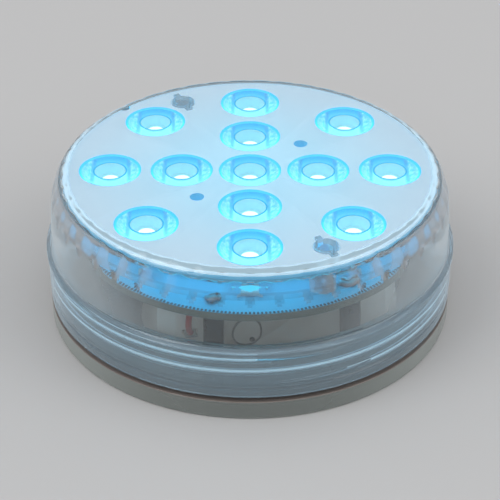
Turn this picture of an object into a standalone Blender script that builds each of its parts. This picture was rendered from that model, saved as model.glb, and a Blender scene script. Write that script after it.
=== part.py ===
"""Battery pool light: a clear fluted head with thirteen lensed LEDs, screwed onto a base cap.

Metres, +Z up. The origin is the centre of the underside of the base cap, and the front is -Y.
The head turns on the base cap's thread about the Z axis, so every moving piece's pivot is at the
origin. Radii and heights below are in millimetres and are turned to metres by mm().
"""

import math

import bmesh
import bpy
from mathutils import Matrix, Vector

# ---- driving dimensions, millimetres -------------------------------------------------------
GAP = 0.3                    # clearance between pieces that touch

FLUTES = 46                  # flutes round the upper side of the cover
WALL_SEGMENTS = 2 * FLUTES   # one step on each crest and one in each valley
RING_SEGMENTS = 64
SEAL_SEGMENTS = 48

CAP_RADIUS = 42.1
CAP_RIM_TOP = 4.2
CAP_FLOOR_TOP = 1.8
CAP_FOOT_RADIUS = 34.0       # inside this the underside is recessed
CAP_FOOT_RECESS = 0.4
SPIGOT_OUTER = 39.1
SPIGOT_INNER = 37.3
SPIGOT_TOP = 15.2

THREAD_PITCH = 2.8
THREAD_HEIGHT = 1.2          # ridge height above its wall
THREAD_ROOT_SINK = 0.3       # how far a ridge is buried in its wall
THREAD_BASE_HALF = 0.7       # half the ridge's width at the wall
THREAD_CREST_HALF = 0.3
THREAD_START = 8.3           # height of the skirt's ridge where it starts
THREAD_TURNS = 2.1
THREAD_FRONT_PHASE = -90.0   # the thread starts at the front
THREAD_STEPS = 32            # per turn

SKIRT_INNER = 40.6
SKIRT_BOTTOM = 5.35
BAND_RADIUS = 42.2
FLANGE_RADIUS = 42.1
FLANGE_TOP = 7.5
BEAD_RADIUS = 42.5
BEAD_BOTTOM = 15.0
BEAD_TOP = 16.0
WALL_OUTER = 41.3
WALL_INNER = 39.9
COVER_TOP = 32.4
COVER_PLATE = 1.4            # thickness of the clear top
FLUTE_DEPTH = 0.5
FLUTE_TOP = 31.6             # flutes are deepest here and fade out at both ends
FLUTE_BOTTOM = 19.0

SEAL_WIRE = 0.85             # radius of the O-ring's section
SEAL_RADIUS = 40.15          # to the middle of the section
SEAL_SEAT_RADIUS = 41.3

PLATE_TOP = 30.7
PLATE_THICKNESS = 1.5
PLATE_RADIUS = 37.9
CUP_TOP_RADIUS = 6.36
CUP_BOTTOM_RADIUS = 3.35
CUP_BOTTOM = 24.3
CUP_WALL = 0.7
CUP_SEGMENTS = 16
INNER_RING = 14.0            # four cups
OUTER_RING = 28.7            # eight cups
WELL_RADIUS = 3.15           # open well in the top of each lens
WELL_FLOOR_RADIUS = 2.6
WELL_FLOOR = 28.2
WELL_CROWN = 0.3             # how far the well's floor bulges up
STANDOFF_RING = 15.0
STANDOFF_RADIUS = 2.3
STANDOFF_BORE = 1.45
STANDOFF_FLOOR = 23.5        # the bore is blind, and a peg goes on into the board
STANDOFF_ANGLES = (45.0, 225.0)
NOTCH_ANGLE = 136.0
NOTCH_RADIUS = 1.3

BOSS_RING = 32.2
BOSS_ANGLES = (117.0, 297.0)
BOSS_RADIUS = 2.4
BOSS_BORE = 1.45
BOSS_BORE_TOP = 29.6
GUSSET_WIDTH = 1.2
GUSSET_REACH = 3.6           # from the boss's centre to the end of a gusset

BOARD_TOP = 21.7
BOARD_THICKNESS = 1.6
BOARD_RADIUS = 36.8
BOARD_HOLE = 1.45

LED_SIDE = 5.0
LED_HEIGHT = 1.4
LED_CLIP = 0.7               # clipped corner
LED_WINDOW = 1.95
LED_WINDOW_DEPTH = 0.3

RECEIVER_RING = 34.0
RECEIVER_HALF_DEPTH = 1.5
RECEIVER_HALF_WIDTH = 2.0
RECEIVER_HEIGHT = 1.6
EYE_RADIUS = 1.2
CHIP_PLACE = (-28.5, -1.0)
CHIP_HALF_WIDTH = 2.0
CHIP_HALF_LENGTH = 2.5
CHIP_HEIGHT = 1.4
LEG_PITCH = 1.27
LEG_HALF_WIDTH = 0.2
LEG_REACH = 3.0

PACK_TURN = 12.0             # the battery pack sits turned about Z
CELL_RADIUS = 7.25
CELL_LENGTH = 50.5
CELL_NUB_RADIUS = 2.75
CELL_NUB = 1.2
CELL_SPACING = 15.0
CELL_AXIS_Z = 11.1
HOLDER_INNER_X = 22.55
HOLDER_INNER_Y = 27.9
HOLDER_WALL = 1.2
HOLDER_CHAMFER = 3.0
HOLDER_BOTTOM = 3.2
HOLDER_ROOF = 18.65
HOLDER_TOP = 19.5
POST_X = 13.5
POST_Y = 30.0
POST_RADIUS = 2.0
POST_BORE = 1.25

PLATE_METAL = 0.4            # thickness of the contact plates
CONTACT_HALF_WIDTH = 5.0
CONTACT_BOTTOM = 6.0
CONTACT_TOP = 16.2
SPRING_WIRE = 0.3
SPRING_RADIUS = 3.0
SPRING_TURNS = 3.5
SPRING_LENGTH = 2.4
SPRING_STEPS = 10            # per turn
TAB_HALF_WIDTH = 1.2
TAB_Z = 14.6
TAB_X = 18.0
TAB_REACH = 31.0             # how far out along the pack the solder tabs end

LEAD_RADIUS = 0.6
LEAD_BOW = 0.9               # how far a lead bulges out on its way up
LEAD_STEPS = 8

HEAD_HEIGHT = 1.3
CROSS_REACH = 0.55           # arm of the cross recess, as a share of the head's radius
CROSS_HALF_WIDTH = 0.2
CROSS_FLOOR = 0.45           # floor of the recess, as a share of the head's height
BOARD_SCREW = (1.8, 0.95, 8.0)     # head radius, shank radius, length
COVER_SCREW = (1.7, 1.1, 7.5)


def mm(value):
    """Millimetres to metres."""
    return value * 0.001


def polar(radius, degrees, z=0.0):
    """Point at a radius and an angle about Z, in millimetres."""
    angle = math.radians(degrees)
    return Vector((radius * math.cos(angle), radius * math.sin(angle), z))


# ---- scene and materials ---------------------------------------------------------------------
def clear_scene():
    for item in list(bpy.data.objects):
        bpy.data.objects.remove(item, do_unlink=True)


def material(name, colour, roughness, metallic=0.0):
    made = bpy.data.materials.get(name) or bpy.data.materials.new(name)
    made.use_nodes = True
    shader = made.node_tree.nodes["Principled BSDF"]
    shader.inputs["Base Color"].default_value = (*colour, 1.0)
    shader.inputs["Roughness"].default_value = roughness
    shader.inputs["Metallic"].default_value = metallic
    made.diffuse_color = (*colour, 1.0)
    return made


FINISHES = {
    "clear": ((0.55, 0.60, 0.63), 0.08, 0.0),
    "satin_white": ((0.62, 0.85, 0.92), 0.45, 0.0),
    "lens": ((0.55, 0.85, 0.95), 0.05, 0.0),
    "board": ((0.85, 0.88, 0.86), 0.40, 0.0),
    "led_white": ((0.90, 0.95, 0.98), 0.35, 0.0),
    "black_plastic": ((0.05, 0.05, 0.055), 0.45, 0.0),
    "grey_plastic": ((0.32, 0.29, 0.26), 0.50, 0.0),
    "base_clear": ((0.36, 0.38, 0.36), 0.15, 0.0),
    "seal_rubber": ((0.07, 0.06, 0.055), 0.70, 0.0),
    "cell_sleeve": ((0.10, 0.11, 0.12), 0.30, 0.0),
    "spring_steel": ((0.70, 0.70, 0.70), 0.30, 1.0),
    "nickel": ((0.75, 0.73, 0.68), 0.28, 1.0),
    "screw_steel": ((0.55, 0.55, 0.56), 0.35, 1.0),
    "red_lead": ((0.60, 0.05, 0.04), 0.40, 0.0),
    "black_lead": ((0.03, 0.03, 0.03), 0.40, 0.0),
}


def finish(name):
    return material(name, *FINISHES[name])


# ---- mesh helpers ------------------------------------------------------------------------------
def mesh_from(bm, name):
    """Closed bmesh in millimetres to a mesh in metres, faces outward."""
    bmesh.ops.recalc_face_normals(bm, faces=bm.faces)
    bmesh.ops.scale(bm, vec=(0.001, 0.001, 0.001), verts=bm.verts)
    mesh = bpy.data.meshes.new(name)
    bm.to_mesh(mesh)
    bm.free()
    return mesh


def add(name, mesh, finish_name, parent=None, location=(0, 0, 0), turn=0.0):
    """Object with its finish, placed by a location in millimetres and a turn about Z."""
    thing = bpy.data.objects.new(name, mesh)
    if not mesh.materials:
        mesh.materials.append(finish(finish_name))
    mesh.shade_smooth()
    mesh.set_sharp_from_angle(angle=math.radians(35))
    thing.location = Vector(location) * 0.001
    thing.rotation_euler = (0.0, 0.0, math.radians(turn))
    thing.parent = parent
    bpy.context.scene.collection.objects.link(thing)
    return thing


def revolved(profile, segments, name):
    """Turn a profile about Z. Its points are (radius, z) or (radius, z, valley), where valley is
    how much every second step is pulled in. A point at radius 0 is a pole, and the profile
    either runs from pole to pole or closes on itself."""
    bm = bmesh.new()
    rows = []
    for radius, z, *valley in profile:
        if radius == 0.0:
            rows.append([bm.verts.new((0.0, 0.0, z))])
            continue
        depth = valley[0] if valley else 0.0
        rows.append([bm.verts.new(polar(radius - depth * (step % 2), 360.0 * step / segments, z))
                     for step in range(segments)])
    pairs = list(zip(rows, rows[1:]))
    if len(rows[0]) > 1:
        pairs.append((rows[-1], rows[0]))
    for low, high in pairs:
        for step in range(segments):
            other = (step + 1) % segments
            corners = [low[step % len(low)], low[other % len(low)],
                       high[other % len(high)], high[step % len(high)]]
            bm.faces.new(list(dict.fromkeys(corners)))
    return mesh_from(bm, name)


def block(bm, low, high):
    """Axis-aligned box between two corners, in millimetres."""
    low = Vector(low)
    high = Vector(high)
    size = high - low
    matrix = Matrix.Translation((low + high) / 2) @ Matrix.Diagonal((*size, 1.0))
    return bmesh.ops.create_cube(bm, size=1.0, matrix=matrix)["verts"]


def drum(bm, radius, low, high, centre=(0.0, 0.0), segments=24, top_radius=None):
    """Upright cylinder or cone."""
    top = radius if top_radius is None else top_radius
    matrix = Matrix.Translation((centre[0], centre[1], (low + high) / 2))
    return bmesh.ops.create_cone(bm, cap_ends=True, segments=segments, radius1=radius,
                                 radius2=top, depth=high - low, matrix=matrix)["verts"]


def prism(bm, outline, low, high):
    """Closed outline of (x, y) pulled up between two heights."""
    floor = bm.faces.new([bm.verts.new((x, y, low)) for x, y in outline])
    pulled = bmesh.ops.extrude_face_region(bm, geom=[floor])["geom"]
    moved = [part for part in pulled if isinstance(part, bmesh.types.BMVert)]
    bmesh.ops.translate(bm, vec=(0.0, 0.0, high - low), verts=moved)


def tool(make):
    """Mesh drawn by make(bm), in millimetres there and in metres here."""
    bm = bmesh.new()
    make(bm)
    return mesh_from(bm, make.__name__)


def boolean(mesh, operand, operation):
    """Mesh after an exact Boolean with another mesh."""
    target = bpy.data.objects.new("target", mesh)
    other = bpy.data.objects.new("operand", operand)
    for thing in (target, other):
        bpy.context.scene.collection.objects.link(thing)
    modifier = target.modifiers.new("boolean", "BOOLEAN")
    modifier.solver = "EXACT"
    modifier.operation = operation
    modifier.object = other
    bpy.context.view_layer.update()
    evaluated = target.evaluated_get(bpy.context.evaluated_depsgraph_get())
    result = bpy.data.meshes.new_from_object(evaluated)
    result.name = mesh.name
    result.materials.clear()
    for thing in (target, other):
        bpy.data.objects.remove(thing, do_unlink=True)
    return result


def fuse(mesh, *makers):
    for make in makers:
        mesh = boolean(mesh, tool(make), "UNION")
    return mesh


def cut(mesh, *makers):
    for make in makers:
        mesh = boolean(mesh, tool(make), "DIFFERENCE")
    return mesh


# ---- thread ------------------------------------------------------------------------------------
def thread_ridge(wall, outward, start):
    """Maker of a right-hand helical ridge on a wall: outward is 1 on a spigot, -1 in a skirt.
    The ridge rises out of the wall and sinks back into it over about a tenth of a turn."""
    steps = round(THREAD_TURNS * THREAD_STEPS)
    fade = THREAD_STEPS // 10

    def make(bm):
        rings = []
        for step in range(steps + 1):
            turn = step / THREAD_STEPS
            rise = min(1.0, step / fade, (steps - step) / fade)
            height = rise * (THREAD_HEIGHT + THREAD_ROOT_SINK / 2) - THREAD_ROOT_SINK / 2
            root = wall - outward * THREAD_ROOT_SINK
            crest = wall + outward * height
            middle = start + turn * THREAD_PITCH
            degrees = THREAD_FRONT_PHASE + 360.0 * turn
            section = [
                (root, middle - THREAD_BASE_HALF),
                (crest, middle - THREAD_CREST_HALF),
                (crest, middle + THREAD_CREST_HALF),
                (root, middle + THREAD_BASE_HALF),
            ]
            rings.append([bm.verts.new(polar(radius, degrees, z)) for radius, z in section])
        for ring, after in zip(rings, rings[1:]):
            for corner in range(4):
                other = (corner + 1) % 4
                bm.faces.new((ring[corner], ring[other], after[other], after[corner]))
        bm.faces.new(rings[0])
        bm.faces.new(list(reversed(rings[-1])))

    return make


# ---- base cap and seal -------------------------------------------------------------------------
def base_cap():
    """Shallow cap with a rim, a threaded spigot and a recessed underside."""
    profile = [
        (0.0, CAP_FOOT_RECESS),
        (CAP_FOOT_RADIUS - 0.6, CAP_FOOT_RECESS),
        (CAP_FOOT_RADIUS, 0.0),
        (CAP_RADIUS - 0.3, 0.0),
        (CAP_RADIUS, 0.3),
        (CAP_RADIUS, CAP_RIM_TOP),
        (SPIGOT_OUTER, CAP_RIM_TOP),
        (SPIGOT_OUTER, SPIGOT_TOP - 0.4),
        (SPIGOT_OUTER - 0.4, SPIGOT_TOP),
        (SPIGOT_INNER, SPIGOT_TOP),
        (SPIGOT_INNER, CAP_FLOOR_TOP),
        (0.0, CAP_FLOOR_TOP),
    ]
    mesh = revolved(profile, RING_SEGMENTS, "base_cap")
    return fuse(mesh, thread_ridge(SPIGOT_OUTER, 1, THREAD_START - THREAD_PITCH / 2))


def o_ring():
    """Round-section ring that the head squeezes onto the cap's rim."""
    middle = CAP_RIM_TOP + GAP + SEAL_WIRE
    profile = []
    for step in range(8):
        angle = 2 * math.pi * (step + 0.5) / 8
        profile.append((SEAL_RADIUS + SEAL_WIRE * math.cos(angle),
                        middle + SEAL_WIRE * math.sin(angle)))
    return revolved(profile, SEAL_SEGMENTS, "o_ring")


# ---- top cover ---------------------------------------------------------------------------------
def flute_depth(z):
    """How deep a flute's valley is at a height."""
    if z >= FLUTE_TOP:
        return FLUTE_DEPTH * (COVER_TOP - z) / (COVER_TOP - FLUTE_TOP)
    if z <= FLUTE_BOTTOM:
        return 0.0
    return FLUTE_DEPTH * ((z - FLUTE_BOTTOM) / (FLUTE_TOP - FLUTE_BOTTOM)) ** 1.5


def top_cover():
    """Clear one-piece head: fluted top, side wall, threaded skirt and two screw bosses."""
    ceiling = COVER_TOP - COVER_PLATE
    plate_room = PLATE_RADIUS + GAP
    outer = [
        (37.0, COVER_TOP),
        (38.7, 31.55),
        (40.0, 29.6),
        (40.9, 27.0),
        (WALL_OUTER, 22.0),
        (WALL_OUTER, BEAD_TOP + 0.5),
        (BEAD_RADIUS, BEAD_TOP - 0.2),
        (BEAD_RADIUS, BEAD_BOTTOM + 0.2),
        (BAND_RADIUS, BEAD_BOTTOM - 0.2),
        (BAND_RADIUS, FLANGE_TOP + 0.3),
        (BAND_RADIUS - 0.4, FLANGE_TOP),
        (FLANGE_RADIUS, FLANGE_TOP - 0.3),
        (FLANGE_RADIUS, SKIRT_BOTTOM),
    ]
    inner = [
        (SEAL_SEAT_RADIUS, SKIRT_BOTTOM),
        (SEAL_SEAT_RADIUS, SKIRT_BOTTOM + 1.1),
        (SKIRT_INNER, SKIRT_BOTTOM + 1.7),
        (SKIRT_INNER, 15.6),
        (WALL_INNER, 16.4),
        (39.4, 27.0),
        (plate_room, PLATE_TOP - PLATE_THICKNESS),
        (plate_room, ceiling - 0.6),
        (plate_room - 0.6, ceiling),
    ]
    fluted = [(radius, z, flute_depth(z)) for radius, z in outer]
    profile = [(0.0, COVER_TOP), *fluted, *inner, (0.0, ceiling)]
    mesh = revolved(profile, WALL_SEGMENTS, "top_cover")
    mesh = fuse(mesh, thread_ridge(SKIRT_INNER, -1, THREAD_START),
                cover_bosses, cover_gussets)
    return cut(mesh, cover_bores)


def boss_bars(bm, half_width, reach, low, high):
    """One radial bar through each boss place."""
    for degrees in BOSS_ANGLES:
        place = (Matrix.Translation(polar(BOSS_RING, degrees))
                 @ Matrix.Rotation(math.radians(degrees), 4, "Z"))
        bar = block(bm, (-reach, -half_width, low), (reach, half_width, high))
        bmesh.ops.transform(bm, matrix=place, verts=bar)


def boss_drums(bm, radius, low, high, segments=24):
    for degrees in BOSS_ANGLES:
        spot = polar(BOSS_RING, degrees)
        drum(bm, radius, low, high, centre=spot, segments=segments)


def cover_bosses(bm):
    boss_drums(bm, BOSS_RADIUS, BOARD_TOP + GAP, COVER_TOP - COVER_PLATE / 2)


def cover_gussets(bm):
    boss_bars(bm, GUSSET_WIDTH / 2, GUSSET_REACH, PLATE_TOP - 4.0, COVER_TOP - COVER_PLATE * 0.6)


def cover_bores(bm):
    boss_drums(bm, BOSS_BORE, BOARD_TOP - 1.0, BOSS_BORE_TOP, segments=16)


# ---- reflector plate, lenses and LEDs ----------------------------------------------------------
def cup_places():
    """Centres of the thirteen cups: one in the middle, then the inner and the outer ring."""
    places = [Vector((0.0, 0.0, 0.0))]
    places += [polar(INNER_RING, 90.0 * step) for step in range(4)]
    places += [polar(OUTER_RING, 45.0 * step) for step in range(8)]
    return places


def cup_radius(z):
    """Inner radius of a cup at a height."""
    slope = (CUP_TOP_RADIUS - CUP_BOTTOM_RADIUS) / (PLATE_TOP - CUP_BOTTOM)
    return CUP_BOTTOM_RADIUS + slope * (z - CUP_BOTTOM)


def cups(bm, extra, low, high):
    """A cone on each cup's centre, wider than the cup by extra."""
    for spot in cup_places():
        drum(bm, cup_radius(low) + extra, low, high, centre=spot, segments=CUP_SEGMENTS,
             top_radius=cup_radius(high) + extra)


def standoffs(bm, radius, low, high):
    for degrees in STANDOFF_ANGLES:
        drum(bm, radius, low, high, centre=polar(STANDOFF_RING, degrees), segments=16)


def reflector_plate():
    """Satin white disc with thirteen open cups, two pegged standoffs and room for the bosses."""
    under = PLATE_TOP - PLATE_THICKNESS
    profile = [
        (0.0, PLATE_TOP),
        (PLATE_RADIUS - 0.4, PLATE_TOP),
        (PLATE_RADIUS, PLATE_TOP - 0.4),
        (PLATE_RADIUS, under),
        (0.0, under),
    ]
    mesh = revolved(profile, RING_SEGMENTS, "reflector_plate")

    def cones(bm):
        cups(bm, CUP_WALL, CUP_BOTTOM, PLATE_TOP - 0.5)

    def posts(bm):
        standoffs(bm, STANDOFF_RADIUS, BOARD_TOP + GAP, PLATE_TOP - 0.5)

    def pegs(bm):
        standoffs(bm, BOARD_HOLE - GAP, BOARD_TOP - BOARD_THICKNESS, BOARD_TOP + 1.0)

    def hollows(bm):
        cups(bm, 0.0, CUP_BOTTOM - 1.0, PLATE_TOP + 1.0)
        standoffs(bm, STANDOFF_BORE, STANDOFF_FLOOR, PLATE_TOP + 1.0)

    def boss_room(bm):
        boss_drums(bm, BOSS_RADIUS + GAP, under - 8.0, PLATE_TOP + 1.0)

    def gusset_room(bm):
        boss_bars(bm, GUSSET_WIDTH / 2 + GAP, GUSSET_REACH + GAP, under - 7.0, PLATE_TOP + 0.8)

    def notch(bm):
        drum(bm, NOTCH_RADIUS, under - 1.0, PLATE_TOP + 1.0,
             centre=polar(PLATE_RADIUS, NOTCH_ANGLE), segments=16)

    mesh = fuse(mesh, cones, posts, pegs)
    return cut(mesh, hollows, boss_room, gusset_room, notch)


def lens():
    """Clear cone lens with an open well in its top, seated in a cup."""
    low = CUP_BOTTOM - 0.4
    rim = PLATE_TOP - GAP
    profile = [
        (0.0, WELL_FLOOR + WELL_CROWN),
        (WELL_FLOOR_RADIUS, WELL_FLOOR),
        (WELL_RADIUS, rim),
        (cup_radius(rim) - GAP, rim),
        (cup_radius(low) - GAP, low),
        (0.0, low),
    ]
    return revolved(profile, CUP_SEGMENTS, "lens")


def led():
    """Square surface-mount package with a round window and a clipped corner."""
    half = LED_SIDE / 2

    def body(bm):
        outline = [(-half, -half), (half, -half), (half, half - LED_CLIP),
                   (half - LED_CLIP, half), (-half, half)]
        prism(bm, outline, 0.0, LED_HEIGHT)

    def window(bm):
        drum(bm, LED_WINDOW, LED_HEIGHT - LED_WINDOW_DEPTH, LED_HEIGHT + 1.0, segments=16)

    mesh = cut(tool(body), window)
    mesh.name = "led"
    return mesh


# ---- board -------------------------------------------------------------------------------------
def post_places():
    """Centres of the four board posts in the pack's own frame."""
    return [Vector((side * POST_X, end * POST_Y, 0.0)) for end in (-1, 1) for side in (-1, 1)]


def turned(spot):
    """A place in the pack's frame, in the light's frame."""
    return Matrix.Rotation(math.radians(PACK_TURN), 3, "Z") @ spot


def led_board():
    """Round board with holes for the posts, the cover's screws and the plate's pegs."""
    under = BOARD_TOP - BOARD_THICKNESS
    profile = [(0.0, BOARD_TOP), (BOARD_RADIUS, BOARD_TOP), (BOARD_RADIUS, under), (0.0, under)]

    def holes(bm):
        spots = [turned(spot) for spot in post_places()]
        spots += [polar(BOSS_RING, degrees) for degrees in BOSS_ANGLES]
        spots += [polar(STANDOFF_RING, degrees) for degrees in STANDOFF_ANGLES]
        for spot in spots:
            drum(bm, BOARD_HOLE, under - 1.0, BOARD_TOP + 1.0, centre=spot, segments=16)

    return cut(revolved(profile, RING_SEGMENTS, "led_board"), holes)


def ir_receiver():
    """Small package with a domed eye that looks up through the plate's notch."""
    def body(bm):
        block(bm, (-RECEIVER_HALF_DEPTH, -RECEIVER_HALF_WIDTH, 0.0),
              (RECEIVER_HALF_DEPTH, RECEIVER_HALF_WIDTH, RECEIVER_HEIGHT))

    def eye(bm):
        matrix = Matrix.Translation((0.0, 0.0, EYE_RADIUS))
        bmesh.ops.create_uvsphere(bm, u_segments=16, v_segments=8, radius=EYE_RADIUS,
                                  matrix=matrix)

    return fuse(tool(body), eye)


def control_chip():
    """Eight-legged controller body, hung under the board."""
    def body(bm):
        block(bm, (-CHIP_HALF_WIDTH, -CHIP_HALF_LENGTH, 0.0),
              (CHIP_HALF_WIDTH, CHIP_HALF_LENGTH, CHIP_HEIGHT))

    def legs(bm):
        middle = CHIP_HEIGHT / 2
        for step in range(4):
            y = LEG_PITCH * (step - 1.5)
            block(bm, (-LEG_REACH, y - LEG_HALF_WIDTH, middle),
                  (LEG_REACH, y + LEG_HALF_WIDTH, middle + LEG_HALF_WIDTH))

    return fuse(tool(body), legs)


# ---- battery pack ------------------------------------------------------------------------------
def chamfered(half_x, half_y, clip):
    """Rectangle with clipped corners, counter-clockwise."""
    outline = []
    for across, along in ((1, -1), (1, 1), (-1, 1), (-1, -1)):
        side = (across * half_x, along * (half_y - clip))
        end = (across * (half_x - clip), along * half_y)
        outline += [end, side] if across * along < 0 else [side, end]
    return outline


def battery_holder():
    """Box open underneath for three cells, with four board posts and slots for the tabs."""
    outer = chamfered(HOLDER_INNER_X + HOLDER_WALL, HOLDER_INNER_Y + HOLDER_WALL, HOLDER_CHAMFER)
    inner_clip = HOLDER_CHAMFER - HOLDER_WALL * (2 - math.sqrt(2))
    inner = chamfered(HOLDER_INNER_X, HOLDER_INNER_Y, inner_clip)

    def shell(bm):
        prism(bm, outer, HOLDER_BOTTOM, HOLDER_TOP)

    def posts(bm):
        for spot in post_places():
            drum(bm, POST_RADIUS, HOLDER_BOTTOM, BOARD_TOP - BOARD_THICKNESS - GAP, centre=spot,
                 segments=20)

    def hollow(bm):
        prism(bm, inner, HOLDER_BOTTOM - 1.0, HOLDER_ROOF)

    def bores(bm):
        for spot in post_places():
            drum(bm, POST_BORE, 10.0, BOARD_TOP, centre=spot, segments=12)

    def slots(bm):
        for x, end in lead_tabs():
            low = HOLDER_INNER_Y - 0.5
            high = HOLDER_INNER_Y + HOLDER_WALL + 0.5
            block(bm, (x - TAB_HALF_WIDTH - GAP, min(end * low, end * high), TAB_Z - GAP),
                  (x + TAB_HALF_WIDTH + GAP, max(end * low, end * high),
                   TAB_Z + PLATE_METAL + GAP))

    mesh = fuse(tool(shell), posts)
    return cut(mesh, hollow, bores, slots)


def cell_side(index):
    """Which end a cell's nub points to: the outer cells to the front, the middle one back."""
    return 1 if index == 1 else -1


def lead_tabs():
    """Places of the two solder tabs: (x, end). Plus is at the front left, minus at the back
    right."""
    return [(-TAB_X, -1), (TAB_X, 1)]


def battery_cell():
    """AA cell lying along Y, nub toward -Y, its middle at the origin."""
    half = CELL_LENGTH / 2
    body = half - CELL_NUB
    profile = [
        (0.0, half),
        (CELL_NUB_RADIUS, half),
        (CELL_NUB_RADIUS, body),
        (CELL_RADIUS - 0.6, body),
        (CELL_RADIUS, body - 0.6),
        (CELL_RADIUS, -half),
        (0.0, -half),
    ]
    mesh = revolved(profile, 24, "battery_cell")
    mesh.transform(Matrix.Rotation(math.radians(90.0), 4, "X"))
    return mesh


def contact_plate(left, right, tab_x=None):
    """Upright contact plate in front of one or two cells, 0 at its outer face, +Y inward. A tab
    may run out through the end wall."""
    def sheet(bm):
        block(bm, (left - CONTACT_HALF_WIDTH, 0.0, CONTACT_BOTTOM),
              (right + CONTACT_HALF_WIDTH, PLATE_METAL, CONTACT_TOP))

    def tab(bm):
        block(bm, (tab_x - TAB_HALF_WIDTH, HOLDER_INNER_Y - GAP - TAB_REACH, TAB_Z),
              (tab_x + TAB_HALF_WIDTH, PLATE_METAL / 2, TAB_Z + PLATE_METAL))

    return tool(sheet) if tab_x is None else fuse(tool(sheet), tab)


def wire(name, points, radius, resolution):
    """Round wire through points in millimetres, with flat ends."""
    curve = bpy.data.curves.new(name, "CURVE")
    curve.dimensions = "3D"
    curve.bevel_depth = mm(radius)
    curve.bevel_resolution = resolution
    curve.use_fill_caps = True
    spline = curve.splines.new("POLY")
    spline.points.add(len(points) - 1)
    for point, spot in zip(spline.points, points):
        point.co = (*[mm(value) for value in spot], 1.0)
    return curve


def contact_spring():
    """Coil that presses on a cell's flat end: a round wire along +Y from the origin."""
    count = round(SPRING_TURNS * SPRING_STEPS)
    points = []
    for step in range(count + 1):
        angle = 2 * math.pi * step / SPRING_STEPS
        points.append((SPRING_RADIUS * math.cos(angle), SPRING_LENGTH * step / count,
                       SPRING_RADIUS * math.sin(angle)))
    return wire("contact_spring", points, SPRING_WIRE, 0)


def lead(name, start):
    """Insulated wire that rises from a solder tab to the underside of the board."""
    out = math.copysign(LEAD_BOW, start.y)
    rise = BOARD_TOP - BOARD_THICKNESS - GAP - start.z
    points = []
    for step in range(LEAD_STEPS + 1):
        share = step / LEAD_STEPS
        points.append(start + Vector((0.0, out * math.sin(math.pi * share), rise * share)))
    return wire(name, points, LEAD_RADIUS, 2)


def add_wire(name, curve, finish_name, parent, location=(0, 0, 0), turn=0.0):
    """Wire object with its finish, placed by a location in millimetres and a turn about Z."""
    thing = bpy.data.objects.new(name, curve)
    if not curve.materials:
        curve.materials.append(finish(finish_name))
    thing.location = Vector(location) * 0.001
    thing.rotation_euler = (0.0, 0.0, math.radians(turn))
    thing.parent = parent
    bpy.context.scene.collection.objects.link(thing)


# ---- screws ------------------------------------------------------------------------------------
def screw(head_radius, shank_radius, length):
    """Pan-head screw with a cross recess: the head stands on z = 0 and the shank hangs below."""
    profile = [
        (0.0, HEAD_HEIGHT),
        (head_radius * 0.6, HEAD_HEIGHT * 0.9),
        (head_radius, HEAD_HEIGHT * 0.4),
        (head_radius, 0.0),
        (shank_radius, 0.0),
        (shank_radius, -length + shank_radius),
        (0.0, -length),
    ]
    arm = head_radius * CROSS_REACH
    floor = HEAD_HEIGHT * CROSS_FLOOR
    above = HEAD_HEIGHT + 1.0

    def across(bm):
        block(bm, (-arm, -CROSS_HALF_WIDTH, floor), (arm, CROSS_HALF_WIDTH, above))

    def along(bm):
        block(bm, (-CROSS_HALF_WIDTH, -arm, floor), (CROSS_HALF_WIDTH, arm, above))

    return cut(revolved(profile, 12, "screw"), across, along)


# ---- assembly ----------------------------------------------------------------------------------
def empty(name, parent=None, turn=0.0):
    pivot = bpy.data.objects.new(name, None)
    pivot.parent = parent
    pivot.rotation_euler = (0.0, 0.0, math.radians(turn))
    bpy.context.scene.collection.objects.link(pivot)
    return pivot


def add_optics(head):
    add("top_cover", top_cover(), "clear", head)
    add("reflector_plate", reflector_plate(), "satin_white", head)
    lens_mesh = lens()
    led_mesh = led()
    for number, spot in enumerate(cup_places(), start=1):
        add(f"lens_{number:02d}", lens_mesh, "lens", head, spot)
        place = (spot.x, spot.y, BOARD_TOP + GAP)
        add(f"led_{number:02d}", led_mesh, "led_white", head, place)


def add_board(head):
    under = BOARD_TOP - BOARD_THICKNESS
    add("led_board", led_board(), "board", head)
    add("ir_receiver", ir_receiver(), "black_plastic", head,
        polar(RECEIVER_RING, NOTCH_ANGLE, BOARD_TOP + GAP), NOTCH_ANGLE)
    add("control_chip", control_chip(), "black_plastic", head,
        (*CHIP_PLACE, under - GAP - CHIP_HEIGHT))


def add_battery_pack(head):
    pack = empty("battery_pack_pivot", head, PACK_TURN)
    add("battery_holder", battery_holder(), "grey_plastic", pack)
    cell_mesh = battery_cell()
    spring = contact_spring()
    nub_end = HOLDER_INNER_Y - 2 * GAP - PLATE_METAL
    for index in range(3):
        side = cell_side(index)
        x = CELL_SPACING * (index - 1)
        middle = side * (nub_end - CELL_LENGTH / 2)
        flip = 180.0 if side > 0 else 0.0
        add(f"battery_cell_{index + 1}", cell_mesh, "cell_sleeve", pack,
            (x, middle, CELL_AXIS_Z), flip)
        start = -side * (nub_end - SPRING_WIRE)
        add_wire(f"contact_spring_{index + 1}", spring, "spring_steel", pack,
                 (x, start, CELL_AXIS_Z), 180.0 - flip)
    add_contacts(pack)
    reach = TAB_REACH - LEAD_RADIUS - GAP
    for name, side in (("red_lead", -1), ("black_lead", 1)):
        start = Vector((side * TAB_X, side * reach, TAB_Z + PLATE_METAL + GAP))
        add_wire(name, lead(name, start), name, pack)


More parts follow.
